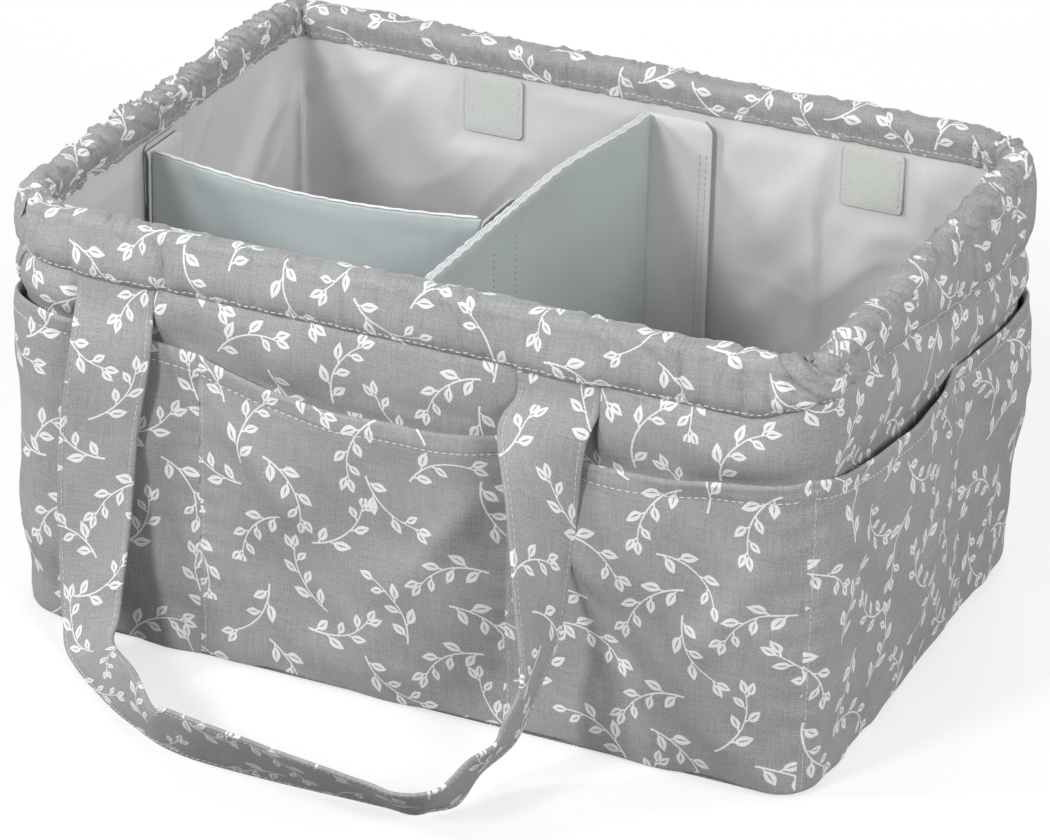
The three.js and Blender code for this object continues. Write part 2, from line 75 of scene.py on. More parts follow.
class Body(Enum):
    """The CAD bodies that pieces ride on."""

    BAG = "bag"
    FRONT_HANDLE = "front_handle"
    BACK_HANDLE = "back_handle"
    MAIN_DIVIDER = "main_divider"
    CROSS_DIVIDER = "cross_divider"


class Slot(Enum):
    """The record's material slots."""

    PRINT = "printed_cotton"
    BOARD = "stiffening_board"
    LINING = "lining_nylon"
    ELASTIC = "elastic"
    TAPE = "loop_pile"
    SATIN = "divider_satin"
    EDGE = "edge_binding"


class Side(Enum):
    """The four sides of the bag's wall."""

    FRONT = "front"
    RIGHT = "right"
    BACK = "back"
    LEFT = "left"


def smooth(t: Array) -> Array:
    """A soft step: t squared times (3 - 2 t), with t held between 0 and 1."""
    held = np.clip(t, 0.0, 1.0)
    return held * held * (3.0 - 2.0 * held)


def bell(distance: Array, width: float) -> Array:
    """A soft bell of a distance: 1 at 0, falling to 0 at width and beyond."""
    return 1.0 - smooth(np.abs(distance) / width)


def unit(vectors: Array) -> Array:
    """Vectors divided by their own length."""
    return vectors / np.maximum(np.linalg.norm(vectors, axis=-1, keepdims=True), 1e-12)


def run_along(points: Array, axis: int = 0) -> Array:
    """Distance of each point from the first one of its line, along that line.

    Args:
        points: A line of points, or a grid of them.
        axis: The grid's direction in which its lines run.

    Returns:
        The distances, 0 at the start of each line.
    """
    lengths = np.linalg.norm(np.diff(points, axis=axis), axis=-1)
    return np.insert(np.cumsum(lengths, axis=axis), 0, 0.0, axis=axis)


def steps(low: float, high: float, pitch: float, edge: float = 0.0) -> Array:
    """Values from low to high, at most pitch apart, with two more inside a border at each end.

    Args:
        low: First value.
        high: Last value.
        pitch: Longest step between values.
        edge: Width of the border that gets the closer values, or 0.

    Returns:
        The values in rising order.
    """
    count = max(1, math.ceil((high - low - 2 * edge) / pitch))
    inside = np.linspace(low + edge, high - edge, count + 1)
    if not edge:
        return inside
    close = edge * np.array([0.0, 0.12, 0.45])
    return np.concatenate([low + close, inside, high - close[::-1]])


@dataclass(frozen=True)
class Noise:
    """Smooth seeded noise from -1 to 1: numbers on a square lattice, joined by quintic steps."""

    seed: int
    cell: float

    def at(self, x: Array, y: Array) -> Array:
        """The noise at places x and y, which may be any size of array.

        Args:
            x: First coordinate, in metres.
            y: Second coordinate, in metres.

        Returns:
            A number from -1 to 1 for each place.
        """
        table = np.random.default_rng(self.seed).uniform(-1.0, 1.0, (61, 67))
        x, y = np.broadcast_arrays(np.asarray(x) / self.cell, np.asarray(y) / self.cell)
        i, j = np.floor(x).astype(int), np.floor(y).astype(int)
        a, b = (t**3 * (t * (6 * t - 15) + 10) for t in (x - i, y - j))
        corner = [[table[(i + p) % 61, (j + q) % 67] for q in (0, 1)] for p in (0, 1)]
        low = corner[0][0] * (1 - a) + corner[1][0] * a
        high = corner[0][1] * (1 - a) + corner[1][1] * a
        return low * (1 - b) + high * b


@dataclass(frozen=True)
class Fold:
    """A soft ridge (or, with a negative height, a crease) along a straight line on a surface.

    With a lean above 0 its left side, seen along the line, is the gentle one and its right is steep.
    """

    start: tuple[float, float]
    end: tuple[float, float]
    width: float
    height: float
    lean: float = 0.0

    def at(self, x: Array, y: Array) -> Array:
        """Its relief: a bell of the distance from the line, fading out towards both ends.

        Args:
            x: First coordinate on the surface.
            y: Second coordinate on the surface.

        Returns:
            The height at each place.
        """
        ax, ay = self.start
        run = np.array([self.end[0] - ax, self.end[1] - ay])
        length = np.hypot(*run)
        along = ((x - ax) * run[0] + (y - ay) * run[1]) / length**2
        across = ((y - ay) * run[0] - (x - ax) * run[1]) / length
        fade = smooth(along / 0.3) * smooth((1 - along) / 0.3)
        width = self.width * (1 + self.lean * np.sign(across))
        return self.height * fade * np.exp(-((across / width) ** 2))


@dataclass
class Shape:
    """A mesh in the making: points, four-cornered faces and the place of each point on its cloth.

    Its last faces, as many as flat says, are cut ends of cloth and are shaded flat.
    """

    points: Array
    faces: Array
    cloth: Array
    flat: int = 0

    @staticmethod
    def joined(shapes: list["Shape"]) -> "Shape":
        """Several shapes as one, each still closed by itself."""
        starts = np.cumsum([0] + [len(s.points) for s in shapes[:-1]])
        faces = np.concatenate([s.faces + start for s, start in zip(shapes, starts)])
        points = np.concatenate([s.points for s in shapes])
        return Shape(points, faces, np.concatenate([s.cloth for s in shapes]))


def grid_faces(columns: int, rows: int, start: int = 0, ring: bool = False) -> Array:
    """Faces between neighbours of a grid whose point (i, j) has the number start + i * rows + j.

    Args:
        columns: Number of places in the first direction.
        rows: Number of places in the second direction.
        start: Number of the grid's first point.
        ring: Whether the last row joins the first.

    Returns:
        An array of four point numbers a face, anticlockwise seen from the side of the normal.
    """
    i, j = np.meshgrid(np.arange(columns - 1), np.arange(rows if ring else rows - 1), indexing="ij")
    k = (j + 1) % rows
    quads = np.stack([i * rows + j, (i + 1) * rows + j, (i + 1) * rows + k, i * rows + k], axis=-1)
    return quads.reshape(-1, 4) + start


@dataclass
class Sheet:
    """Cloth with a thickness, on a grid: its middle surface, its parameters and its place on the bolt.

    The outer face lies half the thickness along the normal, the cross product of the grid's two
    directions, and the inner face as far behind it. Towards the borders the thickness falls along a
    quarter circle, so that the edge is round.
    """

    us: Array
    vs: Array
    middle: Array
    cloth: Array
    thickness: Array | float
    rim: float = 0.15
    butted: bool = False
    outer: Array = field(init=False)
    normals: Array = field(init=False)

    def __post_init__(self) -> None:
        """Works out the normals and the outer face."""
        du, dv = (np.gradient(self.middle, axis=axis) for axis in (0, 1))
        self.normals = unit(np.cross(du, dv))
        self.outer = self.middle + self.normals * self.half()[..., None]

    def border(self) -> Array:
        """Distance of each grid point from the nearest rounded border, along the grid's own lines.

        A butted sheet keeps its full thickness at its two ends, where the next sheet carries on.
        """
        near = np.full(self.middle.shape[:2], np.inf)
        for axis in (1,) if self.butted else (0, 1):
            run = run_along(self.middle, axis)
            near = np.minimum(near, np.minimum(run, run.take([-1], axis=axis) - run))
        return near

    def half(self) -> Array:
        """Half the thickness at each grid point, rounded off at the borders."""
        half = np.broadcast_to(np.asarray(self.thickness) / 2, self.middle.shape[:2])
        inwards = np.clip(self.border() / half, 0.0, 1.0)
        return half * (self.rim + (1 - self.rim) * np.sqrt(1 - (1 - inwards) ** 2))

    def shape(self) -> Shape:
        """The closed mesh: outer face, inner face and the strip of faces between their borders."""
        columns, rows = self.middle.shape[:2]
        count = columns * rows
        inner = self.middle - self.normals * self.half()[..., None]
        points = np.concatenate([self.outer.reshape(-1, 3), inner.reshape(-1, 3)])
        number = np.arange(count).reshape(columns, rows)
        walk = np.concatenate([number[:-1, 0], number[-1, :-1], number[:0:-1, -1], number[0, :0:-1]])
        ahead = np.roll(walk, -1)
        at_end = walk // rows == ahead // rows
        order = np.argsort(at_end, kind="stable")
        edge = np.stack([ahead, walk, walk + count, ahead + count], axis=-1)[order]
        outer_faces = grid_faces(columns, rows)
        inner_faces = grid_faces(columns, rows, count)[:, ::-1]
        cloth = np.tile(self.cloth.reshape(-1, 2), (2, 1))
        flat = int(at_end.sum()) if self.butted else 0
        return Shape(points, np.concatenate([outer_faces, inner_faces, edge]), cloth, flat)

    def on_surface(self, u: Array, v: Array, face: float = 1.0) -> tuple[Array, Array]:
        """Points and normals of one face at some parameters, straight between the grid's points.

        Args:
            u: Parameters in the first direction.
            v: Parameters in the second direction.
            face: 1 for the outer face, -1 for the inner one.

        Returns:
            The points, and the unit normals that point out of that face.
        """
        u, v = np.broadcast_arrays(u, v)
        i = np.clip(np.interp(u, self.us, np.arange(len(self.us))), 0, len(self.us) - 1.001)
        j = np.clip(np.interp(v, self.vs, np.arange(len(self.vs))), 0, len(self.vs) - 1.001)
        low, left = i.astype(int), j.astype(int)
        a, b = (i - low)[:, None], (j - left)[:, None]
        surface = self.middle + face * self.normals * self.half()[..., None]

        def between(values: Array) -> Array:
            """Values at the places asked for, from the four grid points round each."""
            first = values[low, left] * (1 - b) + values[low, left + 1] * b
            second = values[low + 1, left] * (1 - b) + values[low + 1, left + 1] * b
            return first * (1 - a) + second * a

        return between(surface), unit(face * between(self.normals))


@dataclass(frozen=True)
class Stitches:
    """Machine stitches: capsules of thread end to end along a line, their ends sunk into the cloth."""

    length: float = 2.4 * MM
    gap: float = 0.8 * MM
    radius: float = 0.26 * MM
    sides: int = 6

    def along(self, line: Array, normals: Array) -> Shape:
        """The stitches of one seam.

        A ring round the stitch is its centre plus radius times cosine of the angle across the seam and
        sine along the cloth's normal; the rings shrink and sink towards both ends.

        Args:
            line: Points of the seam on the cloth.
            normals: The cloth's normals at those points.

        Returns:
            The stitches as one shape.
        """
        run = run_along(line)
        pitch = self.length + self.gap
        centres = np.arange(pitch / 2, run[-1] - self.length / 2, pitch)
        share = np.array([-1.0, -0.86, -0.4, 0.4, 0.86, 1.0])
        size = np.array([0.2, 0.7, 1.0, 1.0, 0.7, 0.2])
        sink = np.array([-0.9, -0.15, 0.35, 0.35, -0.15, -0.9]) * self.radius
        place = centres[:, None] + share * self.length / 2

        def at(values: Array) -> Array:
            """Values of the seam at each ring of each stitch."""
            return np.stack([np.interp(place, run, values[:, k]) for k in range(3)], axis=-1)

        normal = unit(at(normals))
        centre = at(line) + normal * sink[:, None]
        tangent = unit(np.gradient(centre, axis=1))
        across = unit(np.cross(tangent, normal))
        turn = np.arange(self.sides) * 2 * math.pi / self.sides
        radius = (self.radius * size)[:, None, None]
        aside = np.cos(turn)[:, None] * across[:, :, None]
        raised = np.sin(turn)[:, None] * normal[:, :, None]
        rings = centre[:, :, None] + radius * (aside + raised)
        count = len(share) * self.sides
        body = grid_faces(len(share), self.sides, ring=True)
        cap = np.array([[0, 1, 2, 3], [0, 3, 4, 5]])
        last = cap[:, ::-1] + (len(share) - 1) * self.sides
        one = np.concatenate([body, cap, last])[:, ::-1]
        faces = (one[None] + (np.arange(len(centres)) * count)[:, None, None]).reshape(-1, 4)
        points = rings.reshape(-1, 3)
        cloth = np.stack([points[:, 0] + points[:, 1], points[:, 2]], axis=-1)
        return Shape(points, faces, cloth)


def tube(line: Array, radius: Array | float, sides: int = 8) -> Shape:
    """A round cord along a line that never runs straight up, with its ends drawn in.

    A ring is its centre plus radius times cosine of the angle sideways and sine upwards.

    Args:
        line: Points of the centre line.
        radius: Radius, one number or one for each point.
        sides: Points round a ring.

    Returns:
        The closed shape.
    """
    ahead = unit(np.gradient(line, axis=0))
    sideways = unit(np.cross(ahead, [0.0, 0.0, 1.0]))
    up = np.cross(sideways, ahead)
    size = np.full(len(line), 1.0) * radius
    size[[0, -1]] *= 0.3
    turn = np.arange(sides) * 2 * math.pi / sides
    rings = line[:, None] + size[:, None, None] * (
        np.cos(turn)[:, None] * sideways[:, None] + np.sin(turn)[:, None] * up[:, None]
    )
    fan = np.arange(1, sides - 1, 2)
    cap = np.stack([np.zeros_like(fan), fan, fan + 1, (fan + 2) % sides], axis=-1)
    last = cap[:, ::-1] + (len(line) - 1) * sides
    faces = np.concatenate([grid_faces(len(line), sides, ring=True), cap, last])[:, ::-1]
    points = rings.reshape(-1, 3)
    run, round_it = np.repeat(run_along(line), sides), np.tile(turn * np.mean(size), len(line))
    cloth = np.stack([run, round_it], axis=-1)
    return Shape(points, faces, cloth)


class Signal:
    """A number on its way through a material. Arithmetic on it adds Math nodes."""

    def __init__(self, graph: "Graph", socket: bpy.types.NodeSocket) -> None:
        """Wraps a socket of a graph."""
        self.graph = graph
        self.socket = socket

    def math(self, operation: str, *values: "Signal | float") -> "Signal":
        """A Math node's result on some values."""
        made = self.graph.node("ShaderNodeMath", {"operation": operation}, dict(enumerate(values)))
        return Signal(self.graph, made.outputs[0])

    def __add__(self, other: "Signal | float") -> "Signal":
        """The sum."""
        return self.math("ADD", self, other)

    __radd__ = __add__

    def __sub__(self, other: "Signal | float") -> "Signal":
        """The difference."""
        return self.math("SUBTRACT", self, other)

    def __rsub__(self, other: "Signal | float") -> "Signal":
        """The difference, from a plain number."""
        return self.math("SUBTRACT", other, self)

    def __mul__(self, other: "Signal | float") -> "Signal":
        """The product."""
        return self.math("MULTIPLY", self, other)

    __rmul__ = __mul__

    def __truediv__(self, other: "Signal | float") -> "Signal":
        """The quotient."""
        return self.math("DIVIDE", self, other)

    def __pow__(self, other: "Signal | float") -> "Signal":
        """The power."""
        return self.math("POWER", self, other)

    def __gt__(self, other: "Signal | float") -> "Signal":
        """1 where it is greater, else 0."""
        return self.math("GREATER_THAN", self, other)

    def __abs__(self) -> "Signal":
        """The size without its sign."""
        return self.math("ABSOLUTE", self)

    def floor(self) -> "Signal":
        """The whole number below."""
        return self.math("FLOOR", self)

    def fraction(self) -> "Signal":
        """What is left above that whole number."""
        return self.math("FRACT", self)

    def sin(self) -> "Signal":
        """The sine."""
        return self.math("SINE", self)

    def cos(self) -> "Signal":
        """The cosine."""
        return self.math("COSINE", self)

    def least(self, other: "Signal | float") -> "Signal":
        """The smaller of two."""
        return self.math("MINIMUM", self, other)

    def most(self, other: "Signal | float") -> "Signal":
        """The larger of two."""
        return self.math("MAXIMUM", self, other)

    def held(self) -> "Signal":
        """The value held between 0 and 1."""
        return self.most(0.0).least(1.0)


class Graph:
    """The nodes of one material, or of the world."""

    def __init__(self, owner: bpy.types.Material | bpy.types.World) -> None:
        """Starts with no nodes in the material or world."""
        owner.use_nodes = True
        self.owner = owner
        self.tree = owner.node_tree
        self.tree.nodes.clear()

    def node(
        self, kind: str, settings: dict | None = None, inputs: dict | None = None
    ) -> bpy.types.Node:
        """Adds one node.

        Args:
            kind: The node's type.
            settings: Its own settings, set first.
            inputs: Values or links of its sockets, by name or number.

        Returns:
            The node.
        """
        made = self.tree.nodes.new(kind)
        for key, value in (settings or {}).items():
            setattr(made, key, value)
        for key, value in (inputs or {}).items():
            source = value.socket if isinstance(value, Signal) else value
            if isinstance(source, bpy.types.NodeSocket):
                self.tree.links.new(source, made.inputs[key])
            else:
                made.inputs[key].default_value = source
        return made

    def place(self, scale: float, cloth: bool = True) -> tuple[Signal, Signal, Signal]:
        """The place on the cloth, or in the object's own axes, times a scale, as three numbers."""
        if cloth:
            source = self.node("ShaderNodeUVMap", {"uv_map": CLOTH_MAP}).outputs[0]
        else:
            source = self.node("ShaderNodeTexCoord").outputs["Object"]
        scaled = self.node("ShaderNodeVectorMath", {"operation": "SCALE"}, {0: source, "Scale": scale})
        parts = self.node("ShaderNodeSeparateXYZ", inputs={0: scaled.outputs[0]})
        return tuple(Signal(self, socket) for socket in parts.outputs)

    def vector(self, *parts: Signal | float) -> bpy.types.NodeSocket:
        """Numbers joined into a vector."""
        return self.node("ShaderNodeCombineXYZ", inputs=dict(enumerate(parts))).outputs[0]

    def noise(self, place: bpy.types.NodeSocket, scale: float, detail: float = 2.0) -> Signal:
        """Soft noise around 0.5 at a place."""
        inputs = {"Vector": place, "Scale": scale, "Detail": detail}
        return Signal(self, self.node("ShaderNodeTexNoise", inputs=inputs).outputs[0])

    def chance(self, place: bpy.types.NodeSocket) -> list[Signal]:
        """Four unlike random numbers, from 0 to 1, for each value of a vector."""
        made = self.node("ShaderNodeTexWhiteNoise", {"noise_dimensions": "3D"}, {"Vector": place})
        parts = self.node("ShaderNodeSeparateColor", inputs={0: made.outputs["Color"]})
        return [Signal(self, made.outputs["Value"]), *(Signal(self, s) for s in parts.outputs)]

    def mix(self, share: Signal, first: object, second: object) -> bpy.types.NodeSocket:
        """A colour between two, by a share."""
        made = self.node("ShaderNodeMix", {"data_type": "RGBA"}, {0: share, 6: first, 7: second})
        return made.outputs[2]


def tone(red: float, green: float, blue: float, light: float = 1.0) -> tuple[float, float, float, float]:
    """A screen colour, each part from 0 to 255, as the linear light that a shader takes.

    A part above 10 is ((part / 255 + 0.055) / 1.055) to the power 2.4, and then times light.
    """
    parts = [min(1.0, light * ((part / 255 + 0.055) / 1.055) ** 2.4) for part in (red, green, blue)]
    return (*parts, 1.0)


@dataclass(frozen=True)
class Finish:
    """A finish: its colour, how rough it is, its sheen, and a fine relief."""

    name: str
    colour: tuple[int, int, int]
    roughness: float = 0.85
    sheen: float = 0.0
    relief: float = 0.08 * MM

    def material(self) -> bpy.types.Material:
        """The Blender material, made the first time that it is asked for."""
        return bpy.data.materials.get(self.name) or self.build()

    def build(self) -> bpy.types.Material:
        """Joins the colour and the relief to one surface shader."""
        graph = Graph(bpy.data.materials.new(self.name))
        colour, height, roughness = self.paint(graph)
        bump = graph.node("ShaderNodeBump", inputs={"Distance": self.relief, "Height": height})
        settings = {
            "Base Color": colour,
            "Roughness": roughness,
            "Normal": bump.outputs[0],
            "Sheen Weight": self.sheen,
            "Sheen Roughness": 0.4,
            "Specular IOR Level": 0.35,
        }
        shader = graph.node("ShaderNodeBsdfPrincipled", inputs=settings)
        graph.node("ShaderNodeOutputMaterial", inputs={"Surface": shader.outputs[0]})
        return graph.owner

    def paint(self, graph: Graph) -> tuple[object, Signal, object]:
        """Colour, height of the relief from 0 to 1, and roughness. Each finish has its own."""
        raise NotImplementedError

    def shaded(self, graph: Graph, share: Signal, dark: float, light: float) -> bpy.types.NodeSocket:
        """The finish's colour, from darker to lighter than written, by a share: random tone for some
        finishes, painted shade in the hollows of the relief for others.
        """
        return graph.mix(share, tone(*self.colour, dark), tone(*self.colour, light))


@dataclass(frozen=True)
class LeafSprigs:
    """A scatter of small leafy sprigs, printed on cloth. All lengths are in millimetres.

    The cloth is cut into two square lattices, the second moved by half a cell. Each cell holds one
    sprig: an arched stem with leaves that alternate along it and one leaf on its tip. Every part is a
    signed distance, positive inside, and the largest of them is the print.
    """

    cell: float = 43.5
    lean: float = math.pi / 4
    spread: float = 0.45
    jitter: float = 3.5
    arch: float = 26.0
    stem_half: float = 16.0
    stem_width: float = 0.44
    pitch: float = 11.5
    stalk: float = 1.5
    leaf_length: float = 7.4
    leaf_width: float = 2.05
    slit: float = 0.40
    stalk_half: float = 0.36
    shrink: float = 0.009
    tip_size: float = 0.92
    missing: float = 0.10
    blur: float = 0.26

    def leaf(self, along: Signal, across: Signal, size: Signal | float) -> Signal:
        """One leaf: half its width is a sine of its length to the power 0.85, less a tapered slit."""
        share = (along / (size * self.leaf_length)).held()
        half = ((share**0.85) * math.pi).sin() * size * self.leaf_width - 0.12
        bent = across - (share * share) * 0.5
        slit = (((share - 0.08) * 1.45).held() * math.pi).sin() * self.slit - 0.06
        return (half - abs(bent)).least(abs(bent) - slit)

    def lattice(self, graph: Graph, x: Signal, y: Signal, lean: float, seed: float) -> Signal:
        """The sprigs of one lattice.

        Args:
            graph: The material.
            x: First place on the cloth.
            y: Second place on the cloth.
            lean: Middle of the stems' directions, in radians.
            seed: Anything that sets this lattice's chances apart.

        Returns:
            The signed distance to the nearest sprig's edge.
        """
        column, row = (x / self.cell).floor(), (y / self.cell).floor()
        turned, moved_x, moved_y, leaning = graph.chance(graph.vector(column, row, seed))
        px = x - (column + 0.5) * self.cell - (moved_x - 0.5) * (2 * self.jitter)
        py = y - (row + 0.5) * self.cell - (moved_y - 0.5) * (2 * self.jitter)
        angle = (leaning - 0.5) * (2 * self.spread) + (turned > 0.5) * math.pi + lean
        cosine, sine = angle.cos(), angle.sin()
        flip = ((moved_x * 7.3 + moved_y * 5.1).fraction() > 0.5) * 2 - 1
        forward = px * cosine + py * sine
        sideways = (py * cosine - px * sine) * flip + self.arch
        along = forward.math("ARCTAN2", forward, sideways) * self.arch
        across = (forward * forward + sideways * sideways) ** 0.5 - self.arch
        side = (across > 0.0) * 2 - 1
        out = abs(across)
        shift = side * (self.pitch / 4)
        slanted = along - out - shift
        number = (slanted / self.pitch + 0.5).floor()
        near = slanted - number * self.pitch
        root = number * self.pitch + shift
        length = (near + out * 2) / math.sqrt(2)
        width = near / math.sqrt(2)
        size = 1.0 - root * self.shrink
        there = graph.chance(graph.vector(column * 3.7 + number, row * 5.3 + side, seed + 9.0))[0]
        present = (self.stem_half - 1.5 - abs(root)).least((there - self.missing) * 40)
        leaf = self.leaf(length - self.stalk, width, size).least(present * 8)
        stalk = (self.stalk_half - abs(width)).least(self.stalk + 1.6 - length).least(present * 8)
        stem = (self.stem_width - abs(across) - (along + self.stem_half) * 0.006).least(
            self.stem_half + 1.2 - abs(along)
        )
        tip = self.leaf(along - self.stem_half, across, self.tip_size)
        return leaf.most(stalk).most(stem).most(tip)

    def share(self, graph: Graph, x: Signal, y: Signal) -> Signal:
        """How much of a place is printed, from 0 to 1, with a slightly soft, uneven edge."""
        rough = graph.noise(graph.vector(x, y, 0.0), 0.9, 1.0) - 0.5
        first = self.lattice(graph, x + rough * 0.5, y, self.lean, 1.5)
        half = self.cell / 2
        second = self.lattice(graph, x + half, y + half + rough * 0.5, -self.lean, 4.5)
        return (first.most(second) / self.blur + 0.5).held()


@dataclass(frozen=True)
class PrintedCotton(Finish):
    """Grey slubbed cotton in a plain weave, with the leafy print in near-white."""

    ink: tuple[int, int, int] = (243, 244, 243)
    thread: float = 0.52
    sprigs: LeafSprigs = LeafSprigs()

    def paint(self, graph: Graph) -> tuple[object, Signal, object]:
        """Threads of uneven shade both ways, soft mottling, then the print over them."""
        x, y, _ = graph.place(1 / MM)
        warp = graph.noise(graph.vector(x * 2.1, y * 0.07, 0.0), 1.0)
        weft = graph.noise(graph.vector(x * 0.07, y * 2.1, 5.0), 1.0)
        mottle = graph.noise(graph.vector(x, y, 9.0), 0.035, 3.0)
        grain = graph.noise(graph.vector(x, y, 4.0), 1.3, 2.0)
        shade = ((warp + weft) * 0.9 + mottle * 0.6 + grain * 1.2 - 1.3).held()
        ground = self.shaded(graph, shade, 0.70, 1.26)
        ink = graph.mix(shade, tone(*self.ink, 0.86), tone(*self.ink, 1.06))
        printed = self.sprigs.share(graph, x, y)
        turn = math.pi / self.thread
        weave = (x * turn).sin() * (y * turn).sin() * 0.5 + 0.5
        height = weave * 0.7 + (warp + weft) * 0.25
        return graph.mix(printed * 0.94, ground, ink), height, self.roughness


@dataclass(frozen=True)
class SmoothNylon(Finish):
    """Smooth woven nylon: even threads, faint shading along the cloth and an uneven gloss."""

    thread: float = 0.34
    rib: float = 0.5

    def paint(self, graph: Graph) -> tuple[object, Signal, object]:
        """A fine plain weave with a stronger rib one way, over a soft change of shade."""
        x, y, _ = graph.place(1 / MM)
        broad = graph.noise(graph.vector(x, y, 3.0), 0.03, 3.0)
        streak = graph.noise(graph.vector(x * 1.4, y * 0.05, 1.0), 1.0)
        turn = math.pi / self.thread
        weave = (x * turn).sin() * (y * turn).sin() * (1 - self.rib) + abs((x * turn).sin()) * self.rib
        colour = self.shaded(graph, (broad * 0.7 + streak * 0.6 - 0.15).held(), 0.93, 1.07)
        return colour, weave * 0.6 + streak * 0.5, self.roughness + (broad - 0.5) * 0.2


@dataclass(frozen=True)
class TapePile(Finish):
    """The loops or hooks of fastening tape: a close, uneven nap."""

    nap: float = 1.6

    def paint(self, graph: Graph) -> tuple[object, Signal, object]:
        """Small loops over a ground, with painted shade: the colour darkens from the loops' tops down
        into the ground as the height falls.
        """
        x, y, _ = graph.place(1 / MM)
        place = graph.vector(x, y, 0.0)
        loops = graph.node("ShaderNodeTexVoronoi", inputs={"Vector": place, "Scale": self.nap})
        near = Signal(graph, loops.outputs["Distance"])
        fine = graph.noise(place, 4.0, 3.0)
        height = (1.1 - near * 1.3 + fine * 0.5).held()
        # Painted shade: the colour follows the nap's height, darker in the hollows between the loops.
        return self.shaded(graph, height, 0.90, 1.05), height, self.roughness


@dataclass(frozen=True)
class RibbedEdge(Finish):
    """A woven edge or thread with ribs across its length."""

    rib: float = 0.9

    def paint(self, graph: Graph) -> tuple[object, Signal, object]:
        """Ribs along the first direction of the cloth, with painted shade that darkens the colour
        between them.
        """
        x, y, _ = graph.place(1 / MM)
        ribs = ((x * (2 * math.pi / self.rib) + y).sin() * 0.5 + 0.5) ** 0.7
        fine = graph.noise(graph.vector(x, y, 2.0), 3.0)
        # Painted shade: the colour follows the ribs' height, darker in the grooves between them.
        return self.shaded(graph, (ribs * 0.7 + fine * 0.5).held(), 0.80, 1.04), ribs, self.roughness


@dataclass(frozen=True)
class PressedBoard(Finish):
    """Board or elastic inside the wall: a fibrous surface that reads the object's own axes."""

    grain: float = 0.25

    def paint(self, graph: Graph) -> tuple[object, Signal, object]:
        """Short fibres that lie along the board."""
        x, y, z = graph.place(1 / MM, cloth=False)
        fibres = graph.noise(graph.vector(x * 0.3, y * 0.3, z * 2.0), self.grain, 4.0)
        return self.shaded(graph, fibres, 0.75, 1.25), fibres, self.roughness


PRINT = PrintedCotton("Printed cotton", (158, 159, 159), 0.88, 0.10, 0.10 * MM)
LINING = SmoothNylon("Grey nylon lining", (205, 205, 203), 0.66, 0.10, 0.03 * MM)
SATIN = SmoothNylon("Blue-grey satin nylon", (170, 178, 179), 0.44, 0.10, 0.03 * MM, thread=0.5, rib=0.8)
TAPE = TapePile("Fastening tape", (199, 202, 198), 0.95, 0.12, 0.10 * MM)
EDGE = RibbedEdge("White woven edge", (234, 237, 238), 0.70, 0.05, 0.12 * MM)
THREAD = RibbedEdge("White sewing thread", (226, 226, 222), 0.62, 0.05, 0.06 * MM, rib=0.35)
GREY_THREAD = RibbedEdge("Grey sewing thread", (186, 188, 187), 0.62, 0.05, 0.06 * MM, rib=0.35)
# Painted shade: dark stitches stand for the shade in the needle holes of the main divider's needle rows.
NEEDLE_HOLE_SHADE = RibbedEdge("Needle holes in painted shade", (104, 110, 112), 0.80, 0.05, 0.06 * MM, rib=0.35)
BOARD = PressedBoard("Fibre board", (141, 133, 118), 0.90, 0.0, 0.10 * MM)
ELASTIC = PressedBoard("Knitted elastic", (228, 228, 224), 0.80, 0.1, 0.20 * MM, grain=0.9)


@dataclass(frozen=True)
class Home:
    """Where a piece belongs: its body, the CAD nodes that it stands for and its slot.

    A piece with a second body keeps it and two heights, but nothing here bends it: it is left
    unattached, on no body.
    """

    body: Body
    slot: Slot | None = None
    nodes: tuple[str, ...] = ()
    bends_to: Body | None = None
    bend_heights: tuple[float, float] = (0.0, 0.0)


def make_piece(name: str, shape: Shape, finish: Finish, home: Home) -> bpy.types.Object:
    """Puts a shape into the scene as one piece of the bag.

    Args:
        name: The piece's name.
        shape: Its closed mesh.
        finish: Its finish.
        home: Its body and the nodes that it stands for.

    Returns:
        The new object, at the origin, with its place in its mesh.
    """
    mesh = bpy.data.meshes.new(name)
    mesh.from_pydata(shape.points.tolist(), [], shape.faces.tolist())
    layer = mesh.uv_layers.new(name=CLOTH_MAP)
    layer.data.foreach_set("uv", shape.cloth[shape.faces.ravel()].astype(np.float32).ravel())
    mesh.polygons.foreach_set("use_smooth", np.arange(len(shape.faces)) < len(shape.faces) - shape.flat)
    mesh.materials.append(finish.material())
    mesh.update()
    piece = bpy.data.objects.new(name, mesh)
    bpy.context.scene.collection.objects.link(piece)
    if home.bends_to:
        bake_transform(piece)
    else:
        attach(piece, home.body.value)
    if home.nodes:
        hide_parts(*home.nodes)
    log.info("%s: %d faces on %s", name, len(shape.faces), home.body.value)
    return piece


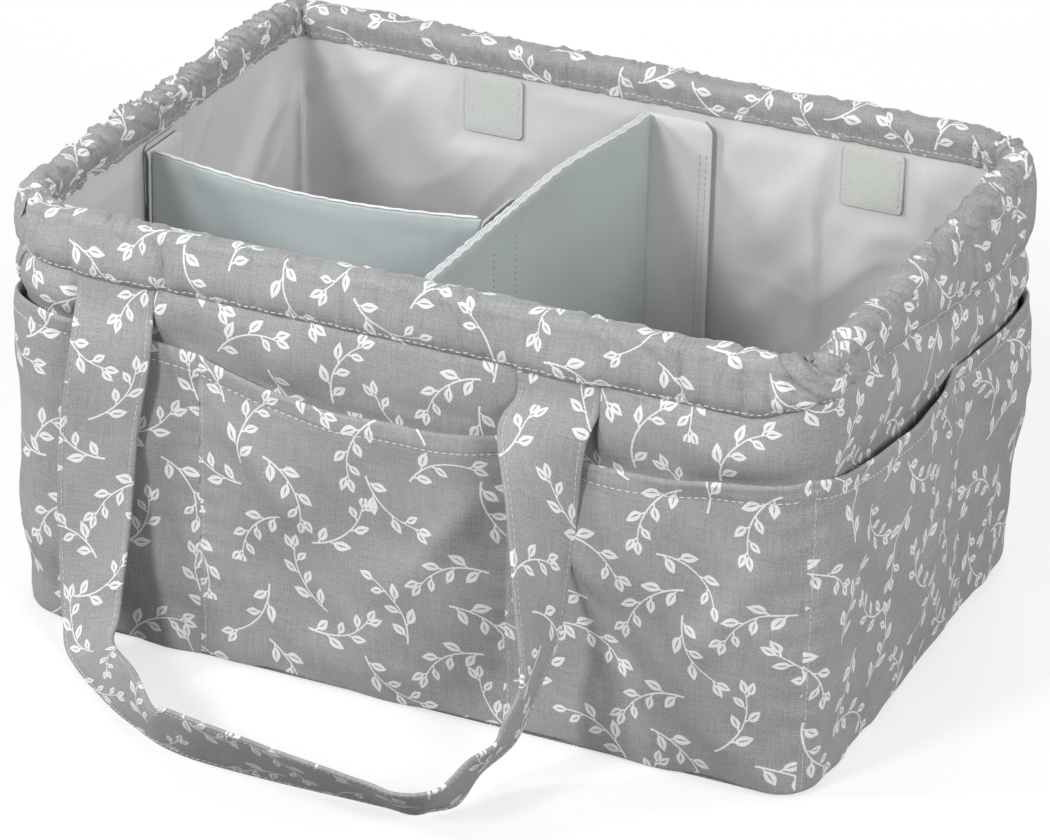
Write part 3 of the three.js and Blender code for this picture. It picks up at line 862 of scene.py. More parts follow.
@dataclass(frozen=True)
class Plan:
    """A rounded rectangle walked anticlockwise from the middle of its front.

    Its second half is its first turned half a turn, so corners across from each other are alike.
    """

    half_x: float
    half_y: float
    first: float
    second: float

    @property
    def marks(self) -> tuple[float, float, float, float, float]:
        """Where the first corner starts and ends, then the second one, and half a turn."""
        start = self.half_x - self.first
        end = start + math.pi / 2 * self.first
        next_start = end + 2 * self.half_y - self.first - self.second
        next_end = next_start + math.pi / 2 * self.second
        return start, end, next_start, next_end, next_end + self.half_x - self.second

    def along(self, s: Array) -> tuple[Array, Array]:
        """The distance within its half turn, and 1 or -1 for the first or second half."""
        half_turn = self.marks[4]
        turns = np.floor(np.asarray(s) / half_turn)
        return s - turns * half_turn, np.where(turns % 2 == 0, 1.0, -1.0)

    def place(self, s: Array, offset: Array) -> tuple[Array, Array]:
        """Places on the plan, moved outwards.

        Each corner adds a turn, from 0 to a quarter, and the point is the sum of the straight runs and
        of radius times sine and 1 - cosine of those turns, plus offset along the outward direction.

        Args:
            s: Distances along the plan.
            offset: How far outwards.

        Returns:
            The x and y of each place.
        """
        start, end, next_start, next_end, _ = self.marks
        along, sign = self.along(s)
        first = np.clip(along - start, 0, end - start) / self.first
        second = np.clip(along - next_start, 0, next_end - next_start) / self.second
        x = np.clip(along, 0, start) + self.first * np.sin(first) - self.second * (1 - np.cos(second))
        x = x - np.maximum(along - next_end, 0)
        y = self.first * (1 - np.cos(first)) + self.second * np.sin(second) - self.half_y
        y = y + np.clip(along - end, 0, next_start - end)
        turn = first + second - math.pi / 2
        return sign * (x + offset * np.cos(turn)), sign * (y + offset * np.sin(turn))

    def disc(self, across: Array, offset: float) -> tuple[Array, Array, Array]:
        """A square grid laid over the whole area of the plan.

        A grid point's place is the plan's point in the same direction, times how far out it is: the
        larger of its two coordinates, from 0 in the middle to 1 at the border.

        Args:
            across: Coordinates from -1 to 1, the same both ways.
            offset: How far outside the plan the area ends.

        Returns:
            The x and y of each grid point, and how far out it is.
        """
        u, w = np.meshgrid(across, across, indexing="ij")
        far = np.maximum(np.maximum(np.abs(u), np.abs(w)), 1e-9)
        a, b = u / far, w / far
        turn = self.marks[4]
        corners = (self.marks[0] + self.marks[1]) / 2, (self.marks[2] + self.marks[3]) / 2
        front = np.interp(a, [-1, 1], [corners[1] - turn, corners[0]])
        right = np.interp(b, [-1, 1], corners)
        back = np.interp(-a, [-1, 1], [corners[1], corners[0] + turn])
        left = np.interp(-b, [-1, 1], [corners[0] + turn, corners[1] + turn])
        s = np.select([b <= -1 + 1e-9, a >= 1 - 1e-9, b >= 1 - 1e-9], [front, right, back], left)
        x, y = self.place(s, offset)
        return x * far, y * far, far


@dataclass(frozen=True)
class Wall:
    """The bag's wall: its plan, the line of the cuff's edge and the pockets' mouths, as in the frame."""

    plan: Plan
    seam: float = 168 * MM
    slope: float = 26 * MM
    edge_drop: float = 1.2 * MM
    seam_left: float = -88 * MM
    seam_right: float = 52 * MM
    side_seam: float = 35 * MM
    strap_middles: tuple[float, float] = (-126 * MM, 73 * MM)
    outside_cover: float = 2.0 * MM
    lean_foot: float = 13.5 * MM
    lean_slope: float = 0.205
    lean_width: float = 58 * MM
    joint: float = 0.01 * MM
    names: tuple[str, ...] = (
        "front_middle", "front_right", "right_side", "right_rear",
        "back_middle", "back_left", "left_side", "left_front",
    )
    drops: tuple[tuple[int, int, int], ...] = (
        (27, 37, 32), (32, 34, 25), (25, 36, 39), (39, 40, 27),
        (27, 37, 32), (32, 34, 25), (25, 36, 39), (39, 22, 27),
    )

    def ends(self, side: Side) -> tuple[float, float]:
        """Where a side of the wall starts and ends, in the middle of two corners."""
        start, end, next_start, next_end, turn = self.plan.marks
        seam, soft = (start + end) / 2, (next_start + next_end) / 2
        return {
            Side.FRONT: (soft - turn, seam),
            Side.RIGHT: (seam, soft),
            Side.BACK: (soft, seam + turn),
            Side.LEFT: (seam + turn, soft + turn),
        }[side]

    def on_right(self, y: float) -> float:
        """The distance along the plan of a y on the right side."""
        return self.plan.marks[1] + y + self.plan.half_y - self.plan.first

    def short(self, s: Array) -> Array:
        """1 along the two short sides and 0 along the long ones, with a soft change in the corners."""
        start, _, _, next_end, _ = self.plan.marks
        along, _ = self.plan.along(s)
        soft = 18 * MM
        return smooth((along - start + soft / 2) / soft) - smooth((along - next_end + soft) / soft)

    def edge(self, s: Array) -> Array:
        """Height of the cuff's lower edge: level on the long sides, with a rise at each sewn corner.

        It falls back by that third of the slope on the left. On the right it falls by the whole slope,
        and comes back up in the soft corner's second half.
        """
        start, end, next_start, next_end, _ = self.plan.marks
        along, sign = self.plan.along(s)
        seam, soft = (start + end) / 2, (next_start + next_end) / 2
        radius = self.plan.first
        dip = (sign + 1) / 3
        lift = smooth((along - start + radius) / (2 * radius))
        fall = smooth((along - seam) / (soft - seam))
        settle = smooth((along - soft) / (next_end - soft))
        return self.seam - self.edge_drop + self.slope * (lift / 3 - (1 / 3 + dip) * fall + dip * settle)

    def pocket_seams(self) -> Array:
        """Where the eight pockets start along the plan, and where the last one ends."""
        start, end, _, _, turn = self.plan.marks
        rear = self.on_right(self.side_seam)
        four = [self.seam_left, self.seam_right, (start + end) / 2, rear]
        return np.array([*four, *(s + turn for s in four), four[0] + 2 * turn])

    def in_pocket(self, s: Array) -> tuple[Array, Array]:
        """For each place, its share of the way across its pocket, and the height of the mouth there.

        The mouth hangs below the cuff's seam by a parabola through three drops.
        """
        seams = self.pocket_seams()
        held = seams[0] + np.mod(np.asarray(s) - seams[0], seams[-1] - seams[0])
        number = np.clip(np.searchsorted(seams, held, side="right") - 1, 0, 7)
        t = (held - seams[number]) / (seams[number + 1] - seams[number])
        first, middle, last = np.moveaxis(np.array(self.drops, float)[number] * MM, -1, 0)
        drop = first * (1 - t) * (1 - 2 * t) + 4 * middle * t * (1 - t) + last * t * (2 * t - 1)
        return t, self.seam - drop

    def away(self, s: Array, place: float, turns: int = 1) -> Array:
        """Signed distance from a place that comes back every half turn, or after so many of them."""
        period = turns * self.plan.marks[4]
        return np.mod(np.asarray(s) - place + period / 2, period) - period / 2

    def near_strap(self, s: Array, reach: float) -> Array:
        """1 behind a strap's end, falling to 0 at a distance from the strap's middle."""
        away = np.minimum(*(np.abs(self.away(s, middle)) for middle in self.strap_middles))
        return smooth((reach - away) / (7 * MM))

    def at_side_seam(self, s: Array) -> Array:
        """Signed distance from the seam between the two pockets of a short side."""
        return self.away(s, self.on_right(self.side_seam))

    def slanted(self, s: Array, z: Array) -> Array:
        """Places near a side seam, moved on along the plan at its foot and back along it at its head."""
        near = bell(self.at_side_seam(s), self.lean_width)
        return s + near * (self.lean_foot - self.lean_slope * z)

    def surface(self, s: Array, offset: Array, z: Array) -> Array:
        """Points of the wall at distances along it, offsets outwards and heights."""
        x, y = self.plan.place(s, offset)
        return np.stack(np.broadcast_arrays(x, y, z), axis=-1)


@dataclass
class Covers:
    """The printed outer shell: four wall panels and the bottom one."""

    wall: Wall
    thickness: float = 1.4 * MM
    foot: float = 1.7 * MM
    middle: float = 1.0 * MM
    belly: float = 3.2 * MM
    level: float = 1.3 * MM
    tuck: float = 1.6 * MM
    gape: float = 0.8 * MM
    fade: float = 50 * MM
    valley: float = 1.8 * MM
    swell: float = 1.5 * MM
    pucker: float = 0.45 * MM
    behind_cuff: float = 0.6 * MM
    bottom_out: float = 0.7 * MM
    bottom_middle: float = 0.7 * MM
    bottom_turn: float = 0.25 * MM

    def panel(self, side: Side) -> Sheet:
        """One wall panel. It is flat behind the pockets and swells between their mouths and the cuff.

        Its offset is the middle, plus a gape at the mouth that fades downwards, plus a belly, the sine
        of the height between mouth and cuff to the power 0.8, less near a strap's end. At the top it
        comes out level with the cuff and is tucked in behind it. Small puckers hang from the cuff's
        stitches, and a valley runs down the seam of a short side.
        """
        wall = self.wall
        low, high = wall.ends(side)
        us = steps(low + wall.joint, high - wall.joint, 1.6 * MM, 0.7 * MM)
        vs = np.linspace(0.0, 1.0, 80)
        s, v = np.meshgrid(us, vs, indexing="ij")
        edge = wall.edge(s)
        z = self.foot + (edge + self.tuck - self.foot) * v
        t, mouth = wall.in_pocket(s)
        across = 1 - (2 * t - 1) ** 4
        top = edge - 0.25 * MM
        share = np.clip((z - mouth) / (top - mouth), 0.0, 1.0)
        under = smooth(1 - (mouth - z) / self.fade)
        free = 1 - 0.75 * wall.near_strap(s, 22 * MM)
        belly = self.belly * np.sin(math.pi * share) ** 0.8 * (0.35 + 0.65 * across)
        between = smooth(share * 4) * smooth((1 - share) * 4)
        soft = self.swell * Noise(11, 24 * MM).at(s, z) * between + self.level * smooth(share * 2)
        pucker = Noise(12, 3.6 * MM).at(s, z * 0.12) * np.exp(-np.abs(top - z) / (7 * MM))
        valley = self.valley * np.exp(-np.abs(wall.at_side_seam(s)) / (1.5 * MM)) * smooth(share * 6)
        offset = self.middle + free * (self.gape * across * under * (1 - share**2) + belly + soft)
        valley = np.minimum(valley, offset - 0.4 * MM)
        offset = offset + self.pucker * pucker * smooth(share * 3) - valley
        behind = smooth((z - edge + 0.9 * MM) / (1.0 * MM))
        offset = offset + (self.behind_cuff - offset) * behind
        moved = wall.slanted(s, z)
        cloth = np.stack([moved, z], axis=-1)
        return Sheet(us, vs, wall.surface(moved, offset, z), cloth, self.thickness, butted=True)

    def bottom(self) -> Sheet:
        """The bottom panel, with an edge that turns up slightly all round."""
        across = steps(-1.0, 1.0, 1 / 36, 0.012)
        x, y, far = self.wall.plan.disc(across, self.bottom_out)
        z = self.bottom_middle + self.bottom_turn * smooth((far - 0.96) / 0.04)
        middle = np.stack([x, y, z], axis=-1)
        return Sheet(across, across, middle, np.stack([x, y], axis=-1), self.thickness)

    def build(self) -> None:
        """Makes the five panels."""
        for side in Side:
            node = f"cover_{side.value}"
            home = Home(Body.BAG, Slot.PRINT, (node,))
            make_piece(f"{node}_cloth", self.panel(side).shape(), PRINT, home)
        home = Home(Body.BAG, Slot.PRINT, ("cover_base",))
        make_piece("cover_base_cloth", self.bottom().shape(), PRINT, home)


@dataclass
class Rim:
    """The cuff: a strip of the print folded over the wall's top and gathered by the elastic in it."""

    wall: Wall
    top: float = 186.8 * MM
    rise: float = 5.2 * MM
    leg_offset: float = 2.8 * MM
    outer: float = 3.5 * MM
    puff: float = 2.6 * MM
    inner: float = -8.4 * MM
    inner_edge: float = -6.4 * MM
    band_edge: float = 176 * MM
    elastic_out: float = 0.95 * MM
    elastic_top: float = 189.1 * MM
    clearance: float = 0.9 * MM
    thickness: float = 1.4 * MM
    lobe: float = 27 * MM
    ruffle: float = 12 * MM
    crinkle: float = 7.0 * MM
    slant: float = 10 * MM
    crinkle_slant: float = 17 * MM
    stitch_height: float = 1.9 * MM
    band_stitch: float = 3.0 * MM
    pinches: tuple[tuple[float, float], ...] = (
        (-158, 1.0), (-146, 0.8), (-103, 1.3), (-62, 0.6), (-20, 1.0), (32, 0.8), (96, 0.8),
        (126, 1.3), (152, 1.2), (163, 0.8), (171, 1.3), (182, 1.0), (196, 1.1), (338, 1.6),
        (409, 0.9), (417, 1.4), (424, 1.6), (431, 1.4), (439, 1.1),
    )

    def profile(self, s: Array, v: Array) -> tuple[Array, Array]:
        """Offset and height of the strip before its gathers.

        From v = 0 to 1 it rises from the stitches, puffs out as a sine and leans in again, from 1 to 2
        it turns over the rim as half an ellipse, and from 2 to 3 it goes down the inside, drawing back
        towards the wall.
        """
        edge = self.wall.edge(s)
        held = np.clip(v, 0, 1)
        leg = self.leg_offset + (self.outer - self.leg_offset) * held
        leg = leg + self.puff * np.sin(math.pi * held**0.72)
        leg = leg + 2.0 * MM * self.wall.near_strap(s, 21 * MM) * (1 - smooth(v / 0.75))
        angle = (np.clip(v, 1, 2) - 1) * math.pi
        reach = (self.outer - self.inner) / 2
        roll = self.inner + reach * (1 + np.cos(angle))
        down = np.clip(v - 2, 0, 1)
        band = self.inner + (self.inner_edge - self.inner) * smooth(down * 0.9 + 0.1)
        offset = np.select([v <= 1, v < 2], [leg, roll], band)
        rising = edge + (self.top - edge) * v
        over = self.top + self.rise * np.sin(angle)
        falling = self.top - (self.top - self.band_edge) * down
        return offset, np.select([v <= 1, v < 2], [rising, over], falling)

    def gathers(self, s: Array, v: Array) -> Array:
        """Relief of the gathers, deepest over the rim and on the short sides.

        A gather is the size of the sine of half its phase, to a power below 1, so that it is round with
        a sharp valley at each turn; a crinkle is the other way up, a sharp ridge. The phase is the
        distance over the wavelength, bent by noise, and the distance slips along as the cloth goes over
        the rim, so that the folds slant. Pinches are single creases, each with a swell beside it.
        """
        wall = self.wall
        short = wall.short(s)
        steep = 0.5 + 0.7 * Noise(24, 34 * MM).at(s, 0 * s)
        lean = s + (v - 1.1) * self.slant * steep
        slid = s + (v - 1.1) * self.crinkle_slant * steep
        wander = Noise(21, 24 * MM).at(lean, v * 12 * MM)

        def gather(place: Array, pitch: float, bend: Array, power: float) -> Array:
            """Folds of one width, from 0 in their valleys to 1 on their tops."""
            return np.abs(np.sin(math.pi * place / pitch + bend)) ** power

        lobes = gather(lean, self.lobe, 2.8 * wander, 0.7) - 0.68
        close = gather(lean, self.ruffle, 2.2 * wander, 0.65) - 0.68
        bend = 2.8 * Noise(25, 9 * MM).at(slid, v * 7 * MM)
        fine = 0.40 - gather(slid, self.crinkle, bend, 0.45)
        strength = 0.9 + 0.6 * Noise(22, 31 * MM).at(s, 0 * s)
        patchy = 0.25 + 0.75 * smooth(0.5 + Noise(26, 22 * MM).at(s, v * 6 * MM))
        outside = 0.12 + 0.28 * smooth(v / 0.4)
        over = outside + (1 - outside) * smooth((v - 0.45) / 0.55) - 0.55 * smooth((v - 1.55) / 0.6)
        relief = (1.2 + 1.3 * short) * MM * lobes + (0.9 + 1.6 * short) * MM * close * strength
        relief = (relief + (1.2 + 2.8 * short) * MM * fine * patchy) * over
        for place, depth in self.pinches:
            away = wall.away(s, place * MM) + (v - 0.5) * 2.5 * MM
            crease = np.exp(-((away / (1.5 * MM)) ** 2))
            beside = 0.6 * np.exp(-(((away - 5 * MM) / (4 * MM)) ** 2))
            fade = smooth(v / 0.25) * (1 - smooth((v - 0.95) / 0.7))
            relief = relief + depth * MM * (beside - crease) * fade
        seam = np.exp(-np.abs(wall.at_side_seam(s) + 2 * MM * v) / (1.2 * MM)) * smooth((0.8 - v) * 4)
        sewn = Noise(27, 3.2 * MM).at(s, v * 2 * MM) * np.exp(-((v / 0.35) ** 2)) * smooth(v / 0.06)
        band = np.sin(2 * math.pi * s / (8 * MM) + 3 * wander) * smooth((v - 1.9) / 0.4)
        crest = 0.8 * MM * Noise(23, 55 * MM).at(s, 0 * s) * bell(v - 1.4, 1.0)
        return relief + MM * (0.5 * sewn + 0.45 * band * patchy - 1.2 * seam) + crest

    def strip(self, side: Side) -> Sheet:
        """One side's length of the cuff, its gathers raised along the plain strip's normals.

        No valley is so deep that it would reach the elastic inside: its room is its distance from the
        elastic's outer upper corner, less a clearance.
        """
        low, high = self.wall.ends(side)
        joint = self.wall.joint
        us = steps(low + joint, high - joint, 0.72 * MM, 0.6 * MM)
        parts = [np.array([0.0, 0.012, 0.035]), np.linspace(0.07, 1, 16), np.linspace(1.05, 2, 21)]
        vs = np.concatenate([*parts, np.linspace(2.12, 2.86, 9), [2.93, 2.98, 3.0]])
        s, v = np.meshgrid(us, vs, indexing="ij")
        offset, z = self.profile(s, v)
        plain = self.wall.surface(s, offset, z)
        normals = unit(np.cross(np.gradient(plain, axis=0), np.gradient(plain, axis=1)))
        beside, above = np.maximum(offset - self.elastic_out, 0.0), np.maximum(z - self.elastic_top, 0.0)
        room = np.where(v < 1.8, np.hypot(beside, above), 4 * MM) - self.clearance
        relief = np.maximum(self.gathers(s, v), -room)
        middle = plain + normals * relief[..., None]
        up = self.wall.edge(s) + run_along(plain, axis=1)
        groove = bell(v * 15 * MM - self.stitch_height, 1.4 * MM)
        thickness = self.thickness * (1 - 0.30 * (1 - smooth(v / 0.3)) - 0.25 * groove)
        return Sheet(us, vs, middle, np.stack([s, up], axis=-1), thickness, butted=True)

    def build(self) -> None:
        """Makes the four lengths and their two rows of stitches."""
        rows = []
        for side in Side:
            strip = self.strip(side)
            node = f"cuff_{side.value}"
            home = Home(Body.BAG, Slot.PRINT, (node,))
            make_piece(f"{node}_cloth", strip.shape(), PRINT, home)
            s = np.arange(strip.us[0] + 1 * MM, strip.us[-1] - 1 * MM, 1 * MM)
            low = self.stitch_height / (self.top - self.wall.edge(s))
            high = 3 - self.band_stitch / (self.top - self.band_edge)
            rows.append(Stitches().along(*strip.on_surface(s, low)))
            rows.append(Stitches(radius=0.2 * MM).along(*strip.on_surface(s, high + 0 * s)))
        make_piece("cuff_stitches", Shape.joined(rows), THREAD, Home(Body.BAG))


@dataclass
class Pockets:
    """Eight outside pockets, each with a hem along its mouth, a hem seam and a seam down its side."""

    wall: Wall
    thickness: float = 1.5 * MM
    hem: float = 8 * MM
    hem_extra: float = 0.5 * MM
    foot: float = 0.5 * MM
    gape: float = 3.7 * MM
    side_gape: float = 0.8
    sag: float = 2.4 * MM
    swell: float = 2.6 * MM
    crumple: float = 0.9 * MM
    foot_rise: float = 1.5 * MM
    foot_wave: float = 1.9 * MM
    lap: float = 1.3 * MM
    seam_inset: float = 2.0 * MM

    def bag(self, number: int) -> Sheet:
        """One pocket. It stands out most at its mouth, sags, and is held flat at its two seams.

        Its offset follows the frame's solid: across is 1 - (2 t - 1) to the power 4, and the height
        adds a gape to the power 1.2 and a sag as a sine. The pocket before the seam of a short side
        gapes more in its middle. Soft folds and puckers come on top, and the foot is uneven and wavy.
        The pocket behind that seam lies lower at it, so the other laps over it.
        """
        wall = self.wall
        start, end = wall.pocket_seams()[number : number + 2]
        us = steps(start + wall.joint, end - wall.joint, 2.0 * MM, 0.8 * MM)
        below_hem, at_hem = np.linspace(0.012, 0.90, 50), np.linspace(0.915, 1.0, 12)
        vs = np.concatenate([[0.0, 0.002, 0.005], below_hem, at_hem])
        s, v = np.meshgrid(us, vs, indexing="ij")
        t, mouth = wall.in_pocket(s)
        loose = smooth(t * 8) * smooth(8 - t * 8)
        mouth = mouth + 0.8 * MM * Noise(31 + number, 24 * MM).at(s, 0 * s) * loose
        foot = self.foot + self.foot_rise * (1 + Noise(32, 24 * MM).at(s, 0 * s))
        z = foot + (mouth - foot) * v
        across = 1 - (2 * t - 1) ** 4
        gape = self.gape * (1 + self.side_gape * (number % 4 == 2) * (1 - (2 * t - 1) ** 2))
        bulge = across * (gape * v**1.2 + self.sag * np.sin(math.pi * v) ** 0.8)
        length = end - start
        left, right = t * length, (1 - t) * length
        broad = self.swell * Noise(41 + number, 46 * MM).at(s, z)
        broad = broad + self.crumple * Noise(51, 19 * MM).at(s + z, z)
        pucker = np.exp(-left / (8 * MM)) + np.exp(-right / (8 * MM))
        phase = 2 * math.pi * z / (12 * MM) + 5 * Noise(61, 40 * MM).at(s, z)
        ripple = 0.5 * MM * np.sin(phase) * pucker
        draw = Fold((start + 0.006, 0.125), (start + 0.4 * length, 0.070), 6 * MM, 2.3 * MM)
        sink = Fold((end - 0.004, 0.118), (start + 0.6 * length, 0.045), 7 * MM, 2.2 * MM)
        held = smooth(v * 7) * smooth((1 - v) * 12 + 0.15)
        soft = (broad * across + ripple + draw.at(s, z) + sink.at(s, z)) * held
        wave = self.foot_wave * np.maximum(Noise(33, 21 * MM).at(s, 0 * s), -0.1) * np.exp(-z / (9 * MM))
        at_foot = wave - 0.3 * MM * (1 - smooth(z / (6 * MM)))
        if number % 4 == 3:
            at_foot = at_foot - self.lap * np.exp(-left / (3 * MM))
        hem = smooth((z - mouth + self.hem) / (1.2 * MM))
        groove = 0.45 * MM * bell(z - mouth + self.hem - 0.2 * MM, 1.6 * MM)
        offset = wall.outside_cover + self.thickness / 2 + np.maximum(bulge + soft, -0.1 * MM) + at_foot
        thickness = self.thickness + self.hem_extra * hem - groove
        moved = wall.slanted(s, z)
        cloth = np.stack([moved + 0.171 * (number + 1), z + 0.083 * (number + 2)], axis=-1)
        return Sheet(us, vs, wall.surface(moved, offset, z), cloth, thickness, butted=True)

    def build(self) -> None:
        """Makes the eight pockets and their stitches."""
        rows = []
        for number, name in enumerate(self.wall.names):
            pocket = self.bag(number)
            node = f"pocket_{name}"
            home = Home(Body.BAG, Slot.PRINT, (node,))
            make_piece(f"{node}_cloth", pocket.shape(), PRINT, home)
            s = np.arange(pocket.us[0] + 1.5 * MM, pocket.us[-1] - 1.5 * MM, 1.5 * MM)
            _, mouth = self.wall.in_pocket(s)
            rows.append(Stitches().along(*pocket.on_surface(s, 1 - self.hem / mouth)))
            v = np.linspace(0.01, 0.985, 100)
            sewn = Stitches(gap=0.5 * MM, radius=0.17 * MM)
            if number % 4 != 3:
                rows.append(sewn.along(*pocket.on_surface(pocket.us[0] + self.seam_inset + 0 * v, v)))
        make_piece("pocket_stitches", Shape.joined(rows), THREAD, Home(Body.BAG))


@dataclass
class Lining:
    """The nylon lining: four walls with soft folds, and the floor."""

    wall: Wall
    offset: float = -4.9 * MM
    thickness: float = 1.2 * MM
    foot: float = 6.5 * MM
    top: float = 178 * MM
    floor_middle: float = 5.6 * MM
    fold: float = 1.8 * MM
    deepest: float = 7.0 * MM
    folds: tuple[Fold, ...] = (
        Fold((0.797, 0.170), (0.845, 0.108), 10 * MM, 4.8 * MM, -0.4),
        Fold((0.778, 0.165), (0.774, 0.075), 7 * MM, 5.5 * MM, 0.7),
        Fold((0.708, 0.176), (0.754, 0.112), 8 * MM, 2.4 * MM, -0.4),
        Fold((0.752, 0.164), (0.770, 0.146), 3 * MM, 1.4 * MM),
        Fold((0.690, 0.150), (0.735, 0.080), 9 * MM, 1.4 * MM),
        Fold((0.521, 0.160), (0.514, 0.070), 3 * MM, 2.0 * MM, 0.5),
        Fold((0.508, 0.178), (0.558, 0.105), 9 * MM, 2.8 * MM, -0.3),
        Fold((0.512, 0.125), (0.558, 0.075), 9 * MM, 2.6 * MM, -0.3),
        Fold((0.462, 0.172), (0.530, 0.076), 10 * MM, 2.8 * MM, -0.3),
        Fold((0.440, 0.160), (0.450, 0.080), 11 * MM, 2.6 * MM, 0.3),
    )

    def flat_spans(self) -> list[tuple[float, float, float, float]]:
        """Places that tabs and patches hold flat: middle along the plan, half width, foot and head."""
        plan, spans = self.wall.plan, []
        turn = plan.marks[4]
        for node in NODES_ON_LINING:
            low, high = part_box(node)
            x, y = (low.x + high.x) / 2, (low.y + high.y) / 2
            if high.x - low.x > high.y - low.y:
                middle, half = (x, (high.x - low.x) / 2) if y < 0 else (turn - x, (high.x - low.x) / 2)
            else:
                middle, half = turn + self.wall.on_right(-y), (high.y - low.y) / 2
            spans.append((middle, half, low.z, high.z))
        return spans

    def wrinkles(self, s: Array, z: Array) -> Array:
        """Folds of the lining, inwards only: chosen folds, and broad noise along slanting lines."""
        slant = Noise(71, 44 * MM).at(s + 0.7 * z, (z - 0.5 * s) * 0.6)
        fine = Noise(72, 15 * MM).at(s - 0.4 * z, z * 0.7)
        ridge = (1 - np.abs(Noise(73, 38 * MM).at(s * 1.1 + z, z - 0.3 * s))) ** 4
        chosen = sum(fold.at(s, z) for fold in self.folds)
        broad = self.fold * (np.clip(0.5 + 0.8 * slant + 0.2 * fine, 0, 2) * 0.8 + 0.6 * ridge)
        return np.clip(chosen + broad, 0.0, self.deepest)

    def wall_sheet(self, side: Side) -> Sheet:
        """One wall of the lining, flat at the last joint and where something is held against it."""
        wall = self.wall
        low, high = wall.ends(side)
        us = steps(low + wall.joint, high - wall.joint, 1.9 * MM, 0.6 * MM)
        zs = steps(self.foot, self.top, 2.3 * MM, 0.6 * MM)
        s, z = np.meshgrid(us, zs, indexing="ij")
        held = smooth(np.abs(wall.away(s, wall.ends(Side.FRONT)[0], 2)) / (15 * MM))
        held = held * smooth((self.top - 2 * MM - z) / (10 * MM)) * smooth((z - self.foot) / (10 * MM))
        for middle, half, foot, head in self.flat_spans():
            beyond = np.maximum(np.abs(wall.away(s, middle, 2)) - half, np.maximum(foot - z, z - head))
            held = held * smooth((beyond - 1 * MM) / (10 * MM))
        offset = self.offset - self.wrinkles(s, z) * held
        cloth = np.stack([s, z], axis=-1)
        return Sheet(us, zs, wall.surface(s, offset, z), cloth, self.thickness, butted=True)

    def floor_sheet(self) -> Sheet:
        """The floor of the lining, which lies nearly flat on the base board."""
        across = steps(-1.0, 1.0, 1 / 56, 0.006)
        x, y, far = self.wall.plan.disc(across, -4.3 * MM)
        lift = 0.25 * MM * Noise(74, 40 * MM).at(x, y) * smooth((1 - far) * 6)
        middle = np.stack([x, y, self.floor_middle + lift], axis=-1)
        return Sheet(across, across, middle, np.stack([x, y], axis=-1), self.thickness)

    def build(self) -> None:
        """Makes the four walls and the floor."""
        for side in Side:
            node = f"lining_{side.value}"
            home = Home(Body.BAG, Slot.LINING, (node,))
            make_piece(f"{node}_cloth", self.wall_sheet(side).shape(), LINING, home)
        home = Home(Body.BAG, Slot.LINING, ("lining_floor",))
        make_piece("lining_floor_cloth", self.floor_sheet().shape(), LINING, home)


PATCHES = (
    *(f"loop_patch_back_{place}" for place in ("left", "middle", "right")),
    *(f"loop_patch_front_{place}" for place in ("left", "middle", "right")),
    "loop_patch_side",
)
HOOKS = (
    "main_divider_hooks_back",
    "main_divider_hooks_front",
    "cross_divider_hooks_left",
    "cross_divider_hooks_inner",
)
NODES_ON_LINING = (*PATCHES, "main_divider_tab_back", "main_divider_tab_front", "cross_divider_tab_left")


def flat_box(node: str) -> tuple[Vector, Vector, int, int]:
    """The box of an upright flat CAD node.

    Args:
        node: The node's name.

    Returns:
        The box's lowest and highest corner, the axis of its thickness and the one of its width.
    """
    low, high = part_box(node)
    thin = 0 if high.x - low.x < high.y - low.y else 1
    return low, high, thin, 1 - thin


@dataclass
class FasteningTape:
    """Squares and strips of hook-and-loop tape: a soft pad, a thin selvedge and a box of stitches."""

    corner: float = 2.5 * MM
    trim: float = 0.8 * MM
    tucked: float = 2.3 * MM
    selvedge: float = 2.2 * MM
    stitch_inset: float = 1.9 * MM

    def pad(self, node: str) -> Sheet:
        """A pad in the middle of its node, smaller by a trim all round and thin at the selvedge.

        The middle patches, which the main divider's tabs cover, are trimmed more.
        """
        low, high, thin, wide = flat_box(node)
        sizes = high - low
        trim = self.tucked if node.endswith("_middle") else self.trim
        plan = Plan(sizes[wide] / 2 - trim, sizes.z / 2 - trim, self.corner, self.corner)
        across = steps(-1.0, 1.0, 1 / 12, 0.07)
        a, b, far = plan.disc(across, 0.0)
        centre = (low + high) / 2
        edge = 1 - self.selvedge / (sizes[wide] / 2)
        middle = np.zeros((*a.shape, 3))
        middle[..., wide] = centre[wide] + a
        middle[..., 2] = centre.z + b
        middle[..., thin] = centre[thin]
        thickness = sizes[thin] * (0.40 + 0.35 * smooth((edge + 0.06 - far) / 0.10))
        return Sheet(across, across, middle, np.stack([a, b], axis=-1), thickness)

    def box_of_stitches(self, pad: Sheet) -> Shape:
        """A square of stitches just inside the selvedge, on both faces of the pad."""
        size = np.linalg.norm(pad.middle[-1, 0] - pad.middle[0, 0])
        place = 1 - 2 * self.stitch_inset / size
        corners = np.array([[-1, -1], [1, -1], [1, 1], [-1, 1], [-1, -1]]) * place
        walk = np.linspace(0, 4, 121)
        u, v = (np.interp(walk, np.arange(5), corners[:, k]) for k in (0, 1))
        sewn = Stitches(2.2 * MM, 0.8 * MM, 0.16 * MM)
        return Shape.joined([sewn.along(*pad.on_surface(u, v, face)) for face in (1.0, -1.0)])

    def build(self) -> None:
        """Makes the loop patches, the loop strip and the hook strips."""
        for node in (*PATCHES, "main_divider_loops", *HOOKS):
            pad = self.pad(node)
            dividers = (Body.MAIN_DIVIDER, Body.CROSS_DIVIDER)
            body = next((divider for divider in dividers if node.startswith(divider.value)), Body.BAG)
            make_piece(f"{node}_pad", pad.shape(), TAPE, Home(body, Slot.TAPE, (node,)))
            make_piece(f"{node}_stitches", self.box_of_stitches(pad), TAPE, Home(body))


